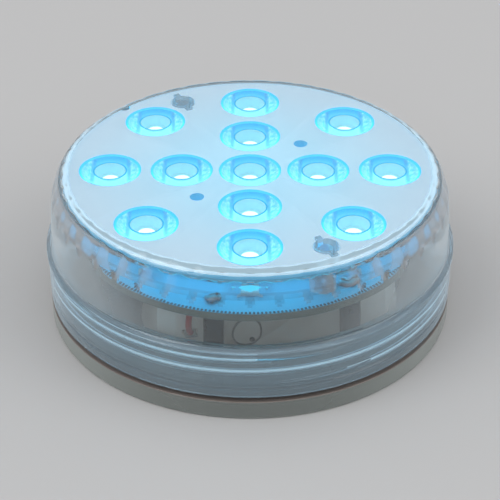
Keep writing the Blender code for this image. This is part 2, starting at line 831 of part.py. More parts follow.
def add_contacts(pack):
    """Front plates: plus terminal, then a link. Back plates are the same, turned half round."""
    front = (0.0, -(HOLDER_INNER_Y - GAP), 0.0)
    back = (0.0, HOLDER_INNER_Y - GAP, 0.0)
    terminal = contact_plate(-CELL_SPACING, -CELL_SPACING, -TAB_X)
    link = contact_plate(0.0, CELL_SPACING)
    add("positive_terminal", terminal, "nickel", pack, front)
    add("contact_link_front", link, "nickel", pack, front)
    add("negative_terminal", terminal, "nickel", pack, back, 180.0)
    add("contact_link_back", link, "nickel", pack, back, 180.0)


def add_screws(head):
    board_screw = screw(*BOARD_SCREW)
    for number, spot in enumerate(post_places(), start=1):
        place = turned(spot)
        add(f"board_screw_{number}", board_screw, "screw_steel", head,
            (place.x, place.y, BOARD_TOP + GAP))
    under = BOARD_TOP - BOARD_THICKNESS - GAP
    cover_screw = screw(*COVER_SCREW)
    cover_screw.transform(Matrix.Rotation(math.pi, 4, "X"))
    for number, degrees in enumerate(BOSS_ANGLES, start=1):
        add(f"cover_screw_{number}", cover_screw, "screw_steel", head,
            polar(BOSS_RING, degrees, under))


def main():
    clear_scene()
    base = empty("base_pivot")
    seal = empty("seal_pivot", base)
    head = empty("light_head_pivot", seal)
    add("base_cap", base_cap(), "base_clear", base)
    add("o_ring", o_ring(), "seal_rubber", seal)
    add_optics(head)
    add_board(head)
    add_battery_pack(head)
    add_screws(head)


main()
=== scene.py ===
import math

import bmesh
import bpy
from mathutils import Matrix, Vector


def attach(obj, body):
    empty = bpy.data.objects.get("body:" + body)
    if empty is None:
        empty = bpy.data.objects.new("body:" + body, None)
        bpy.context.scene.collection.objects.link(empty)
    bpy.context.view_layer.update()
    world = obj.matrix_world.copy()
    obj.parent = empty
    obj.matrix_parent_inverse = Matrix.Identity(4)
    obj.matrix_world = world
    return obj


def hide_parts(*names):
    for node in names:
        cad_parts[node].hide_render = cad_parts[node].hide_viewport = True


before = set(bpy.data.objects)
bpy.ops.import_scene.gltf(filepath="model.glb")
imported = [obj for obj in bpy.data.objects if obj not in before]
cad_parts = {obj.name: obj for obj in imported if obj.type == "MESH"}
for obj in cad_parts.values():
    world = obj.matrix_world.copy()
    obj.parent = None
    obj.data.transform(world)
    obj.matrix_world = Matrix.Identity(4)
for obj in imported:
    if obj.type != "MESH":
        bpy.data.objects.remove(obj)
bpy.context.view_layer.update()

print("stage: frame loaded")

# Lengths in this script are millimetres until a mesh is finished; +Z is up and -Y is the front.
packTurn = 12.0  # the battery pack's turn about Z, degrees
boardTop = 21.7
boardUnder = 20.1
plateTop = 30.7
touchGap = 0.3  # clearance between pieces that touch
cellAxis = 11.1
cellPitch = 15.0
holderEnd = 27.9  # half the holder's inner length
contactMetal = 0.4
nubEnd = holderEnd - 2 * touchGap - contactMetal
bossPlaces = [(32.2, 117.0), (32.2, 297.0)]  # places are (radius, degrees)
standoffPlaces = [(15.0, 45.0), (15.0, 225.0)]
notchPlace = (37.9, 136.0)


def polar(radius, degrees, z=0.0):
    angle = math.radians(degrees)
    return Vector((radius * math.cos(angle), radius * math.sin(angle), z))


cupPlaces = [Vector((0.0, 0.0, 0.0))]
cupPlaces += [polar(14.0, 90.0 * step) for step in range(4)]
cupPlaces += [polar(28.7, 45.0 * step) for step in range(8)]
cup = {"low": 24.3, "lowRadius": 3.35, "topRadius": 6.36, "wall": 0.7, "shellTop": 30.2}


def cupRadius(z):
    return (cup["lowRadius"]
            + (cup["topRadius"] - cup["lowRadius"]) * (z - cup["low"]) / (plateTop - cup["low"]))


# Material helpers
def linear(hexColour):
    parts = [int(hexColour[at:at + 2], 16) / 255 for at in (1, 3, 5)]
    return (*[part / 12.92 if part <= 0.04045 else ((part + 0.055) / 1.055) ** 2.4 for part in parts], 1.0)


def perMm(size):
    return 1000.0 / size  # texture scale for features of that many millimetres, on coordinates in metres


def addNode(tree, kind, inputs=(), **settings):
    # one node with its settings; an input takes a plain value or another node's output
    made = tree.nodes.new(kind)
    for key, value in settings.items():
        setattr(made, key, value)
    for key, value in dict(inputs).items():
        if isinstance(value, bpy.types.NodeSocket):
            tree.links.new(value, made.inputs[key])
        else:
            made.inputs[key].default_value = value
    return made


def surface(name, look):
    # grain makes the bump, mottle varies colour and gloss; returns the material, its tree and its shader
    made = bpy.data.materials.new(name)
    made.use_nodes = True
    tree = made.node_tree
    shader = tree.nodes["Principled BSDF"]
    plain = {"Metallic": look.get("metal", 0.0), "IOR": look.get("ior", 1.5),
             "Transmission Weight": look.get("clear", 0.0), "Coat Weight": look.get("coat", 0.0),
             "Sheen Weight": look.get("sheen", 0.0), "Sheen Tint": linear(look.get("sheenTint", "#ffffff"))}
    for key, value in plain.items():
        shader.inputs[key].default_value = value
    place = addNode(tree, "ShaderNodeTexCoord").outputs["Object"]
    mottle = addNode(tree, "ShaderNodeTexNoise",
                     {"Vector": place, "Scale": perMm(look["mottleMm"]), "Detail": 4.0}).outputs["Fac"]
    if "colour" in look:
        colour = addNode(tree, "ShaderNodeMix", {"Factor": mottle, "A": linear(look["colour"]),
                                                 "B": linear(look["second"])}, data_type="RGBA")
        tree.links.new(colour.outputs["Result"], shader.inputs["Base Color"])
    low, high = look["roughness"]
    rough = addNode(tree, "ShaderNodeMapRange", {"Value": mottle, "From Min": 0.3, "From Max": 0.7,
                                                 "To Min": low, "To Max": high})
    tree.links.new(rough.outputs["Result"], shader.inputs["Roughness"])
    grain = addNode(tree, "ShaderNodeTexNoise",
                    {"Vector": place, "Scale": perMm(look["grainMm"]), "Detail": 3.0}).outputs["Fac"]
    bump = addNode(tree, "ShaderNodeBump", {"Height": grain, "Strength": look.get("grain", 0.3),
                                            "Distance": look.get("grainDepthMm", 0.01) / 1000.0})
    tree.links.new(bump.outputs["Normal"], shader.inputs["Normal"])
    if "bloom" in look:
        # a moulded wall looks milkier the more it turns away from the eye
        facing = addNode(tree, "ShaderNodeLayerWeight", {"Blend": 0.5}).outputs["Facing"]
        begin, full, least = look["bloom"]
        clearer = addNode(tree, "ShaderNodeMapRange", {"Value": facing, "From Min": begin, "From Max": full,
                                                       "To Min": look["clear"], "To Max": least})
        tree.links.new(clearer.outputs["Result"], shader.inputs["Transmission Weight"])
    if "glow" in look:
        shader.inputs["Emission Color"].default_value = linear(look["glow"])
        shader.inputs["Emission Strength"].default_value = look["glowStrength"]
    return made, tree, shader


# Mesh helpers
def dense(points, gap):
    # the same line of (radius, z) with a point at least every gap
    result = [points[0]]
    for (r0, z0), (r1, z1) in zip(points, points[1:]):
        count = max(1, math.ceil(math.hypot(r1 - r0, z1 - z0) / gap - 1e-6))
        result += [(r0 + (r1 - r0) * step / count, z0 + (z1 - z0) * step / count)
                   for step in range(1, count + 1)]
    return result


def rounded(points, steps=4):
    # (radius, z, fillet) corners turned to soft curves that start and end a fillet away
    result = [points[0][:2]]
    for before, here, after in zip(points, points[1:], points[2:]):
        fillet = here[2] if len(here) > 2 else 0.0
        if fillet == 0.0:
            result.append(here[:2])
            continue
        corner = Vector(here[:2])
        ends = []
        for other in (before, after):
            arm = Vector(other[:2]) - corner
            ends.append(corner + arm.normalized() * min(fillet, arm.length * 0.48))
        for step in range(steps + 1):
            share = step / steps
            spot = ends[0] * (1 - share) ** 2 + corner * 2 * share * (1 - share) + ends[1] * share ** 2
            result.append((spot.x, spot.y))
    result.append(points[-1][:2])
    return result


def revolve(profile, steps, bend=None):
    # turns (radius, z) about Z; radius 0 is a pole, and bend(radius, z, turn) returns a changed radius
    bm = bmesh.new()
    rows = []
    for radius, z in profile:
        if radius < 1e-9:
            rows.append([bm.verts.new((0.0, 0.0, z))])
            continue
        row = []
        for step in range(steps):
            turn = step / steps
            row.append(bm.verts.new(polar(bend(radius, z, turn) if bend else radius, 360.0 * turn, z)))
        rows.append(row)
    pairs = list(zip(rows, rows[1:]))
    if len(rows[0]) > 1:
        pairs.append((rows[-1], rows[0]))
    for low, high in pairs:
        for step in range(steps):
            after = (step + 1) % steps
            corners = [low[step % len(low)], low[after % len(low)],
                       high[after % len(high)], high[step % len(high)]]
            bm.faces.new(list(dict.fromkeys(corners)))
    bmesh.ops.recalc_face_normals(bm, faces=bm.faces)
    return meshOf(bm)


def meshOf(bm):
    mesh = bpy.data.meshes.new("work")
    bm.to_mesh(mesh)
    bm.free()
    return mesh


def joined(meshes):
    bm = bmesh.new()
    for mesh in meshes:
        bm.from_mesh(mesh)
    return meshOf(bm)


def moved(mesh, *matrices):
    # one copy of the mesh for each matrix, all in one mesh
    copies = []
    for matrix in matrices:
        copy = mesh.copy()
        copy.transform(matrix)
        copies.append(copy)
    return joined(copies)


def drum(radius, low, high, spots, steps=48, topRadius=None):
    top = radius if topRadius is None else topRadius
    shape = revolve([(0.0, low), (radius, low), (top, high), (0.0, high)], steps)
    return moved(shape, *[Matrix.Translation((spot[0], spot[1], 0.0)) for spot in spots])


def box(low, high):
    bm = bmesh.new()
    low, high = Vector(low), Vector(high)
    bmesh.ops.create_cube(bm, size=1.0, matrix=Matrix.Translation((low + high) / 2)
                          @ Matrix.Diagonal((*(high - low), 1.0)))
    return meshOf(bm)


def radialBars(places, halfWidth, reach, low, high):
    bar = box((-reach, -halfWidth, low), (reach, halfWidth, high))
    return moved(bar, *[Matrix.Translation(polar(radius, degrees))
                        @ Matrix.Rotation(math.radians(degrees), 4, "Z") for radius, degrees in places])


def modified(mesh, kind, **settings):
    # the mesh after one modifier
    holder = bpy.data.objects.new("holder", mesh)
    bpy.context.scene.collection.objects.link(holder)
    modifier = holder.modifiers.new("change", kind)
    for key, value in settings.items():
        setattr(modifier, key, value)
    bpy.context.view_layer.update()
    result = bpy.data.meshes.new_from_object(holder.evaluated_get(bpy.context.evaluated_depsgraph_get()))
    bpy.data.objects.remove(holder)
    return result


def boolean(mesh, operation, *tools):
    for tool in tools:
        other = bpy.data.objects.new("tool", tool)
        bpy.context.scene.collection.objects.link(other)
        mesh = modified(mesh, "BOOLEAN", solver="EXACT", operation=operation, object=other)
        bpy.data.objects.remove(other)
    return mesh


def cleaned(node):
    # a copy of a CAD node's mesh in millimetres, its split corners merged and its flat faces whole
    bm = bmesh.new()
    bm.from_mesh(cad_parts[node].data)
    bmesh.ops.scale(bm, vec=(1000.0, 1000.0, 1000.0), verts=bm.verts)
    bmesh.ops.remove_doubles(bm, verts=bm.verts, dist=0.002)
    bmesh.ops.dissolve_limit(bm, angle_limit=math.radians(1.0), verts=bm.verts, edges=bm.edges)
    bmesh.ops.recalc_face_normals(bm, faces=bm.faces)
    return meshOf(bm)


def eased(mesh, width, segments=2, angle=40.0):
    # sharp edges rounded as a mould or a press leaves them
    return modified(mesh, "BEVEL", width=width, segments=segments, limit_method="ANGLE",
                    angle_limit=math.radians(angle), use_clamp_overlap=True)


def piece(name, mesh, materials, body, nodes=(), lookOf=None, smoothAngle=35.0):
    # turned to metres, smoothed and put in the frame; lookOf(centre in mm, normal) gives a face's material
    mesh.transform(Matrix.Scale(0.001, 4))
    mesh.name = name
    mesh.materials.clear()
    for material in materials:
        mesh.materials.append(material)
    if lookOf:
        for face in mesh.polygons:
            face.material_index = materials.index(lookOf(face.center * 1000.0, face.normal))
    mesh.shade_smooth()
    mesh.set_sharp_from_angle(angle=math.radians(smoothAngle))
    made = bpy.data.objects.new(name, mesh)
    bpy.context.scene.collection.objects.link(made)
    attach(made, body)
    if nodes:
        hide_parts(*nodes)
    return made


# Screw threads
thread = {"pitch": 2.8, "turns": 2.1, "height": 0.8, "fade": 0.1, "stepsPerTurn": 184}
threadSection = [(-0.6, -0.55), (0.55, -0.3), (1.0, -0.12), (1.0, 0.12), (0.55, 0.3), (-0.6, 0.55)]


def threadRidge(radius, outward, start):
    # a helical ridge that starts at the front and sinks into the wall at its ends; outward is 1 or -1
    bm = bmesh.new()
    rows = []
    for step in range(round(thread["turns"] * thread["stepsPerTurn"]) + 1):
        along = step / thread["stepsPerTurn"]
        share = min(1.0, along / thread["fade"], (thread["turns"] - along) / thread["fade"])
        tall = thread["height"] * (share * 1.15 - 0.15)
        row = []
        for out, across in threadSection:
            reach = radius + outward * (tall * out if out > 0.0 else out)
            height = start + thread["pitch"] * along + across
            row.append(bm.verts.new(polar(reach, 270.0 + 360.0 * along, height)))
        rows.append(row)
    for low, high in zip(rows, rows[1:]):
        for at in range(len(threadSection)):
            bm.faces.new([low[at - 1], low[at], high[at], high[at - 1]])
    bm.faces.new(rows[0])
    bm.faces.new(rows[-1])
    bmesh.ops.recalc_face_normals(bm, faces=bm.faces)
    return meshOf(bm)


# Top cover: clear moulded polycarbonate
cover = {"top": 32.4, "ceiling": 31.0, "flutes": 46, "stepsPerFlute": 12, "fluteDepth": 0.4,
         "fluteTop": 29.6, "fluteBottom": 25.2, "hazeBottom": 27.4, "rimDepth": 0.2, "rimInner": 36.9,
         "rimLow": 31.45, "edgeTop": 31.7, "bandTop": 16.3, "wallClear": 0.985, "wallBloom": (0.2, 0.48, 0.7),
         "fluteClear": 0.98, "fluteBloom": (0.09, 0.3, 0.58), "bandClear": 0.87, "sheen": 0.5, "rimGlow": 0.2,
         "edgeGlow": 0.04, "bossGlow": 0.18, "threadGlow": 0.22}


def fluteCut(z, turn):
    # depth of the V-shaped flutes, which run out to points at their lower ends
    away = abs((turn * cover["flutes"]) % 1.0 - 0.5) * 2.0  # 0 in a flute's middle, 1 on a crest
    if z > cover["fluteTop"]:
        share = (z - cover["fluteTop"]) / (cover["top"] - cover["fluteTop"])
        deep = cover["fluteDepth"] * (1 - share) + cover["rimDepth"] * share
    else:
        deep = cover["fluteDepth"] * (z - cover["fluteBottom"]) / (cover["fluteTop"] - cover["fluteBottom"])
    return max(0.0, deep - cover["fluteDepth"] * away)


def coverBend(radius, z, turn):
    if radius < 36.5 or z < cover["fluteBottom"] or (radius < 39.5 and z < 31.2):
        return radius
    return radius - fluteCut(z, turn)


coverOutside = rounded([
    (0.0, cover["top"]), (36.4, cover["top"]), (37.5, cover["top"], 0.35), (38.9, cover["rimLow"], 0.6),
    (40.1, cover["fluteTop"], 0.9), (40.9, 27.0, 1.2), (41.3, 22.0, 2.0), (41.3, 16.6, 0.4),
    (42.5, 15.9, 0.15), (42.5, 15.1, 0.15), (42.2, 14.8, 0.12), (42.2, 7.9, 0.12), (41.8, 7.55, 0.12),
    (42.1, 7.2, 0.15), (42.1, 5.35)])
coverSkirt = rounded([
    (42.1, 5.35), (41.3, 5.35, 0.1), (41.3, 6.45, 0.1), (40.6, 7.05, 0.1), (40.6, 15.6, 0.2), (39.9, 16.4)])
coverInside = rounded([
    (39.9, 16.4), (39.85, 17.4, 0.4), (39.4, 27.0, 1.0), (38.2, 29.2, 0.4), (38.2, 30.4, 0.3),
    (37.6, cover["ceiling"], 0.3), (36.0, cover["ceiling"]), (0.0, cover["ceiling"])])
coverProfile = coverOutside[:2] + dense(coverOutside[2:], 0.45) + dense(coverSkirt, 1.2)[1:]
coverProfile += dense(coverInside[:-2], 0.9)[1:] + coverInside[-2:]
coverMesh = revolve(coverProfile, cover["flutes"] * cover["stepsPerFlute"], coverBend)
boss = {"radius": 2.4, "top": 31.7, "bore": 1.3, "boreTop": 29.6, "tabHalf": 0.6, "tabReach": 3.6,
        "tabLow": 26.7, "wayLow": 21.2, "slotLow": 22.2}
bossSpots = [polar(*place) for place in bossPlaces]
coverMesh = boolean(coverMesh, "UNION", drum(boss["radius"], boardTop + touchGap, boss["top"], bossSpots),
                    radialBars(bossPlaces, boss["tabHalf"], boss["tabReach"], boss["tabLow"], 31.6),
                    threadRidge(40.6, -1, 8.3))
coverMesh = boolean(coverMesh, "DIFFERENCE", drum(boss["bore"], 21.0, boss["boreTop"], bossSpots))

clearTop = surface("clear_polycarbonate_top", {  # polished mould face: sharp reflections, hardly any haze
    "colour": "#f4fbff", "second": "#eef7fc", "mottleMm": 18.0, "roughness": (0.0, 0.02), "ior": 1.58,
    "clear": 1.0, "grainMm": 9.0, "grain": 0.05, "grainDepthMm": 0.02})[0]
clearWall = surface("clear_polycarbonate_wall", {  # glossy, with a pale bloom at grazing angles
    "colour": "#dde8ee", "second": "#d0dde5", "mottleMm": 9.0, "roughness": (0.02, 0.05), "ior": 1.58,
    "clear": cover["wallClear"], "bloom": cover["wallBloom"], "sheen": cover["sheen"],
    "sheenTint": "#dcecf4", "grainMm": 6.0, "grain": 0.1, "grainDepthMm": 0.02})[0]
clearFlutes = surface("clear_polycarbonate_flutes", {  # fine texture in the flutes blurs what shows through
    "colour": "#c2c5c8", "second": "#b6babe", "mottleMm": 6.0, "roughness": (0.05, 0.1), "ior": 1.58,
    "clear": cover["fluteClear"], "bloom": cover["fluteBloom"], "sheen": cover["sheen"],
    "sheenTint": "#c8d2d8", "grainMm": 4.0, "grain": 0.1, "grainDepthMm": 0.02})[0]
clearBand = surface("clear_polycarbonate_band", {  # polished skirt, a touch blue where it is thick
    "colour": "#cfe4ef", "second": "#bed7e6", "mottleMm": 12.0, "roughness": (0.01, 0.03), "ior": 1.58,
    "clear": cover["bandClear"], "sheen": cover["sheen"], "sheenTint": "#cfe4f2", "grainMm": 20.0,
    "grain": 0.02, "grainDepthMm": 0.01})[0]
threadPaintedHighlight = surface("clear_polycarbonate_thread_painted_highlight", {  # painted highlight: a pale glow on the ridge's flanks stands in for the light they catch, as pale lines
    "colour": "#f2f9fc", "second": "#e2eff6", "mottleMm": 12.0, "roughness": (0.02, 0.06), "ior": 1.58,
    "clear": 0.25, "grainMm": 20.0, "grain": 0.02, "grainDepthMm": 0.01, "glow": "#c4e6f4",
    "glowStrength": cover["threadGlow"]})[0]
rimPaintedGlow = surface("clear_polycarbonate_rim", {  # painted glow: the shoulder of the clear top glows for the LED light it carries
    "colour": "#cfe2ee", "second": "#c5dcea", "mottleMm": 5.0, "roughness": (0.05, 0.1), "ior": 1.58,
    "clear": 0.58, "grainMm": 3.0, "grain": 0.1, "grainDepthMm": 0.02, "glow": "#9cdcf6",
    "glowStrength": cover["rimGlow"]})[0]
edgePaintedGlow = surface("clear_polycarbonate_edge", {  # and its outer edge gets a faint painted glow for that light
    "colour": "#e8f4f8", "second": "#dceef4", "mottleMm": 5.0, "roughness": (0.05, 0.1), "ior": 1.58,
    "clear": 0.9, "grainMm": 3.0, "grain": 0.1, "grainDepthMm": 0.02, "glow": "#dff6ff",
    "glowStrength": cover["edgeGlow"]})[0]
bossPaintedGlow = surface("clear_polycarbonate_boss", {  # thick screw bosses look grey through the top, with a faint painted glow for the LED light on them
    "colour": "#b4c2ca", "second": "#a4b4be", "mottleMm": 3.0, "roughness": (0.1, 0.2), "ior": 1.58,
    "clear": 0.85, "grainMm": 3.0, "grain": 0.1, "grainDepthMm": 0.02, "glow": "#9ab8c8",
    "glowStrength": cover["bossGlow"]})[0]


def coverLook(centre, normal):
    out = math.hypot(centre.x, centre.y)
    # the shoulder and its outer edge take the painted glow
    if out > cover["rimInner"] and centre.z > cover["rimLow"]:
        return edgePaintedGlow if centre.z < cover["edgeTop"] else rimPaintedGlow
    if centre.z > cover["ceiling"] - 0.1:
        return clearTop
    if out < 36.5:
        return bossPaintedGlow
    if out > 39.0 and centre.z > cover["fluteBottom"]:
        turn = math.atan2(centre.y, centre.x) / math.tau % 1.0
        inFlute = centre.z > cover["hazeBottom"] or fluteCut(centre.z, turn) > 0.02
        return clearFlutes if inFlute else clearWall
    if centre.z > cover["bandTop"]:
        return clearWall
    # the thread's crest faces take the painted highlight
    onCrest = 39.7 < out < 40.0 and centre.z < 15.0
    return threadPaintedHighlight if onCrest else clearBand


piece("cover_clear", coverMesh, [clearTop, clearWall, clearBand, clearFlutes, rimPaintedGlow, edgePaintedGlow, threadPaintedHighlight,
                                 bossPaintedGlow], "light_head", ["top_cover"], coverLook)
print("stage: cover")

# Reflector plate: satin moulded ABS, with a painted glow for the LED light behind it
plate = {"cupSteps": 64, "rimEase": 0.3, "glow": 0.66, "edgeGlow": 0.46, "cupGlow": 0.9, "underGlow": 1.5,
         "boreGlow": 0.4, "midGlow": "#86d4f4", "farGlow": "#b2d6f0", "radius": 37.9, "under": 29.2,
         "satinFrom": 29.9, "above": 31.7, "standoff": 2.3, "pin": 1.15, "pinTop": 22.7, "bore": 1.45,
         "boreLow": 23.5, "notch": 1.3, "notchLow": 28.2}
platePad = revolve(rounded([(0.0, plateTop), (plate["radius"], plateTop, 0.3),
                            (plate["radius"], plate["under"], 0.2), (0.0, plate["under"])]), 184)
cupShell = drum(cupRadius(cup["low"]) + cup["wall"], cup["low"], cup["shellTop"], cupPlaces,
                plate["cupSteps"], cupRadius(cup["shellTop"]) + cup["wall"])
cupWide = cupRadius(plateTop) + plate["rimEase"]
cupHole = revolve([(0.0, 23.3), (cupRadius(23.3), 23.3), (cupRadius(30.4), 30.4),
                   (cupRadius(30.62) + 0.08, 30.62), (cupWide, 30.75), (cupWide, plate["above"]),
                   (0.0, plate["above"])], plate["cupSteps"])
cupHoles = moved(cupHole, *[Matrix.Translation(spot) for spot in cupPlaces])
standoffSpots = [polar(*place) for place in standoffPlaces]
plateMesh = boolean(platePad, "UNION", cupShell,
                    drum(plate["standoff"], boardTop + touchGap, cup["shellTop"], standoffSpots),
                    drum(plate["pin"], boardUnder, plate["pinTop"], standoffSpots, 24))
# the bosses and their tabs pass through keyholes
plateMesh = boolean(plateMesh, "DIFFERENCE", cupHoles,
                    drum(plate["bore"], plate["boreLow"], plate["above"], standoffSpots, 32),
                    drum(boss["radius"] + touchGap, boss["wayLow"], plate["above"], bossSpots),
                    radialBars(bossPlaces, boss["tabHalf"] + touchGap, boss["tabReach"] + touchGap,
                               boss["slotLow"], 31.5),
                    drum(plate["notch"], plate["notchLow"], plate["above"], [polar(*notchPlace)], 32))

satinPaintedGlow, plateTree, plateShader = surface("satin_abs", {  # fine spark texture: no sharp reflections
    "colour": "#f0f3f3", "second": "#e6ebec", "mottleMm": 14.0, "roughness": (0.42, 0.55), "ior": 1.53,
    "grainMm": 0.35, "grain": 0.35, "grainDepthMm": 0.02})
# painted glow for the LED light: stronger and cyan in the middle, weaker and paler towards the edge
plateOut = addNode(plateTree, "ShaderNodeVectorMath", {
    0: addNode(plateTree, "ShaderNodeTexCoord").outputs["Object"], 1: (1.0, 1.0, 0.0)}, operation="MULTIPLY")
plateFar = addNode(plateTree, "ShaderNodeVectorMath", {0: plateOut.outputs["Vector"]}, operation="LENGTH")
plateFade = addNode(plateTree, "ShaderNodeMapRange", {
    "Value": plateFar.outputs["Value"], "From Min": 0.008, "From Max": 0.038, "To Min": plate["glow"],
    "To Max": plate["edgeGlow"]})
plateTree.links.new(plateFade.outputs["Result"], plateShader.inputs["Emission Strength"])
plateShare = addNode(plateTree, "ShaderNodeMapRange", {
    "Value": plateFar.outputs["Value"], "From Min": 0.016, "From Max": 0.038})
plateTint = addNode(plateTree, "ShaderNodeMix", {
    "Factor": plateShare.outputs["Result"], "A": linear(plate["midGlow"]),
    "B": linear(plate["farGlow"])}, data_type="RGBA")
plateTree.links.new(plateTint.outputs["Result"], plateShader.inputs["Emission Color"])
cupPaintedLight = surface("cup_wall_abs_painted_light", {  # polished cup wall; its cyan colour and glow are painted LED light
    "colour": "#5fccf0", "second": "#46c0ec", "mottleMm": 2.0, "roughness": (0.12, 0.25), "ior": 1.53,
    "grainMm": 1.2, "grain": 0.3, "grainDepthMm": 0.03, "glow": "#10b8f2",
    "glowStrength": plate["cupGlow"]})[0]
underPaintedLight = surface("satin_abs_underside_painted_light", {  # the same moulding, painted cyan with a strong glow for stray LED light
    "colour": "#a5dbe8", "second": "#93cfe0", "mottleMm": 10.0, "roughness": (0.45, 0.55), "ior": 1.53,
    "grainMm": 0.4, "grain": 0.3, "grainDepthMm": 0.02, "glow": "#08c6e6",
    "glowStrength": plate["underGlow"]})[0]
boreShade = surface("satin_abs_bore_painted_shade", {  # painted shade: the blind bores and the outer edge get a darker colour and less glow
    "colour": "#90d4e2", "second": "#84cada", "mottleMm": 3.0, "roughness": (0.45, 0.55), "ior": 1.53,
    "grainMm": 0.4, "grain": 0.3, "grainDepthMm": 0.02, "glow": "#3fb0e4",
    "glowStrength": plate["boreGlow"]})[0]


def plateLook(centre, normal):
    belowRim = centre.z < plateTop - 0.01
    if belowRim and any(math.hypot(centre.x - spot.x, centre.y - spot.y) < cupRadius(centre.z) + 0.12
                        for spot in cupPlaces):
        return cupPaintedLight
    if belowRim and any(math.hypot(centre.x - spot.x, centre.y - spot.y) < 1.5 for spot in standoffSpots):
        return boreShade
    if centre.z < plate["satinFrom"]:
        return underPaintedLight
    # the outer edge takes the painted shade as well
    return boreShade if math.hypot(centre.x, centre.y) > plate["radius"] - 0.1 else satinPaintedGlow


piece("reflector_satin", plateMesh, [satinPaintedGlow, cupPaintedLight, underPaintedLight, boreShade], "light_head",
      ["reflector_plate"], plateLook)
print("stage: reflector")

# Lenses: clear PMMA cones with an open well over the LED
lens = {"steps": 48, "top": 30.4, "low": 23.9, "wellRadius": 3.15, "wellFloor": 28.2, "hotRadius": 1.75,
        "coneGlow": 0.6, "lobeGlow": 0.5, "wellGlow": 0.32, "hotGlow": 1.4, "deep": "#08b8e6",
        "bottom": "#b4f6f8", "lobeDark": "#74dcea", "lobePale": "#d4fcf8", "line": "#0a98d0", "lineAt": 3.75}
lensRim = cupRadius(lens["top"]) - touchGap
well = lens["wellRadius"]
lensMesh = revolve(dense(rounded([
    (0.0, lens["wellFloor"] + 0.3), (lens["hotRadius"], lens["wellFloor"] + 0.15),
    (well - 0.55, lens["wellFloor"], 0.2),
    (well, 30.45, 0.15), (well + 0.3, lens["top"], 0.1), (lensRim, lens["top"], 0.15),
    (cupRadius(lens["low"]) - touchGap, lens["low"], 0.1), (0.0, lens["low"])]), 0.6), lens["steps"])
lensClear = surface("clear_pmma", {  # diamond-polished mould: mirror-smooth
    "colour": "#e6f8ff", "second": "#daf2ff", "mottleMm": 5.0, "roughness": (0.0, 0.02), "ior": 1.49,
    "clear": 1.0, "grainMm": 2.0, "grain": 0.05, "grainDepthMm": 0.01})[0]
conePaintedLight, coneTree, coneShader = surface("pmma_cone_painted_light", {  # painted light: colour, streaks and glow stand in for the LED light the cone's wall turns upward
    "mottleMm": 1.5, "roughness": (0.1, 0.2), "ior": 1.49, "grainMm": 1.2, "grain": 0.4,
    "grainDepthMm": 0.05})
coneSpot = addNode(coneTree, "ShaderNodeAttribute", attribute_name="fromAxis").outputs["Vector"]
coneHeight = addNode(coneTree, "ShaderNodeSeparateXYZ", {"Vector": coneSpot}).outputs["Z"]
# painted light: pale near the bottom, deep cyan at the top
coneShare = addNode(coneTree, "ShaderNodeMapRange", {
    "Value": coneHeight, "From Min": 24.5, "From Max": 30.0})
coneDeep = addNode(coneTree, "ShaderNodeMix", {
    "Factor": coneShare.outputs["Result"], "A": linear(lens["bottom"]),
    "B": linear(lens["deep"])}, data_type="RGBA")
# painted reflections: pale and dark streaks
coneStreaks = addNode(coneTree, "ShaderNodeTexNoise", {
    "Vector": addNode(coneTree, "ShaderNodeVectorMath", {0: coneSpot, 1: (1.0, 1.0, 0.12)},
                      operation="MULTIPLY").outputs["Vector"], "Scale": 1.5, "Detail": 3.0}).outputs["Fac"]
coneBright = addNode(coneTree, "ShaderNodeMapRange", {
    "Value": coneStreaks, "From Min": 0.36, "From Max": 0.66})
coneLobe = addNode(coneTree, "ShaderNodeMix", {
    "Factor": coneBright.outputs["Result"], "A": linear(lens["lobeDark"]),
    "B": linear(lens["lobePale"])}, data_type="RGBA")
# the painted streaks fill the left and right sides, the painted gradient the middle band
coneBowed = addNode(coneTree, "ShaderNodeVectorMath", {
    0: coneSpot, 1: (1.0, 0.3, 0.0)}, operation="MULTIPLY")
coneAcross = addNode(coneTree, "ShaderNodeVectorMath", {0: coneBowed.outputs["Vector"]},
                     operation="LENGTH").outputs["Value"]
coneSide = addNode(coneTree, "ShaderNodeMapRange", {
    "Value": coneAcross, "From Min": 3.2, "From Max": 4.2}, interpolation_type="SMOOTHSTEP").outputs["Result"]
coneColour = addNode(coneTree, "ShaderNodeMix", {
    "Factor": coneSide, "A": coneDeep.outputs["Result"], "B": coneLobe.outputs["Result"]}, data_type="RGBA")
# a painted darker line where the reflected image of the LED's square ends
coneOff = addNode(coneTree, "ShaderNodeMath", {0: coneAcross, 1: lens["lineAt"]}, operation="SUBTRACT")
coneGap = addNode(coneTree, "ShaderNodeMath", {0: coneOff.outputs["Value"]}, operation="ABSOLUTE")
coneLine = addNode(coneTree, "ShaderNodeMapRange", {
    "Value": coneGap.outputs["Value"], "From Min": 0.1, "From Max": 0.6, "To Min": 0.6, "To Max": 0.0},
    interpolation_type="SMOOTHSTEP").outputs["Result"]
coneColour = addNode(coneTree, "ShaderNodeMix", {
    "Factor": coneLine, "A": coneColour.outputs["Result"], "B": linear(lens["line"])}, data_type="RGBA")
coneFade = addNode(coneTree, "ShaderNodeMapRange", {"Value": coneSide, "To Min": lens["coneGlow"],
                                                    "To Max": lens["lobeGlow"]})
for socket in ("Base Color", "Emission Color"):
    coneTree.links.new(coneColour.outputs["Result"], coneShader.inputs[socket])
coneTree.links.new(coneFade.outputs["Result"], coneShader.inputs["Emission Strength"])
wellPaintedLight = surface("pmma_well_wall_painted_light", {  # painted light: pale colour and glow for light that leaves sideways
    "colour": "#b6eef6", "second": "#a4e6f2", "mottleMm": 1.0, "roughness": (0.05, 0.12), "ior": 1.49,
    "grainMm": 0.6, "grain": 0.4, "grainDepthMm": 0.04, "glow": "#a8eefa",
    "glowStrength": lens["wellGlow"]})[0]
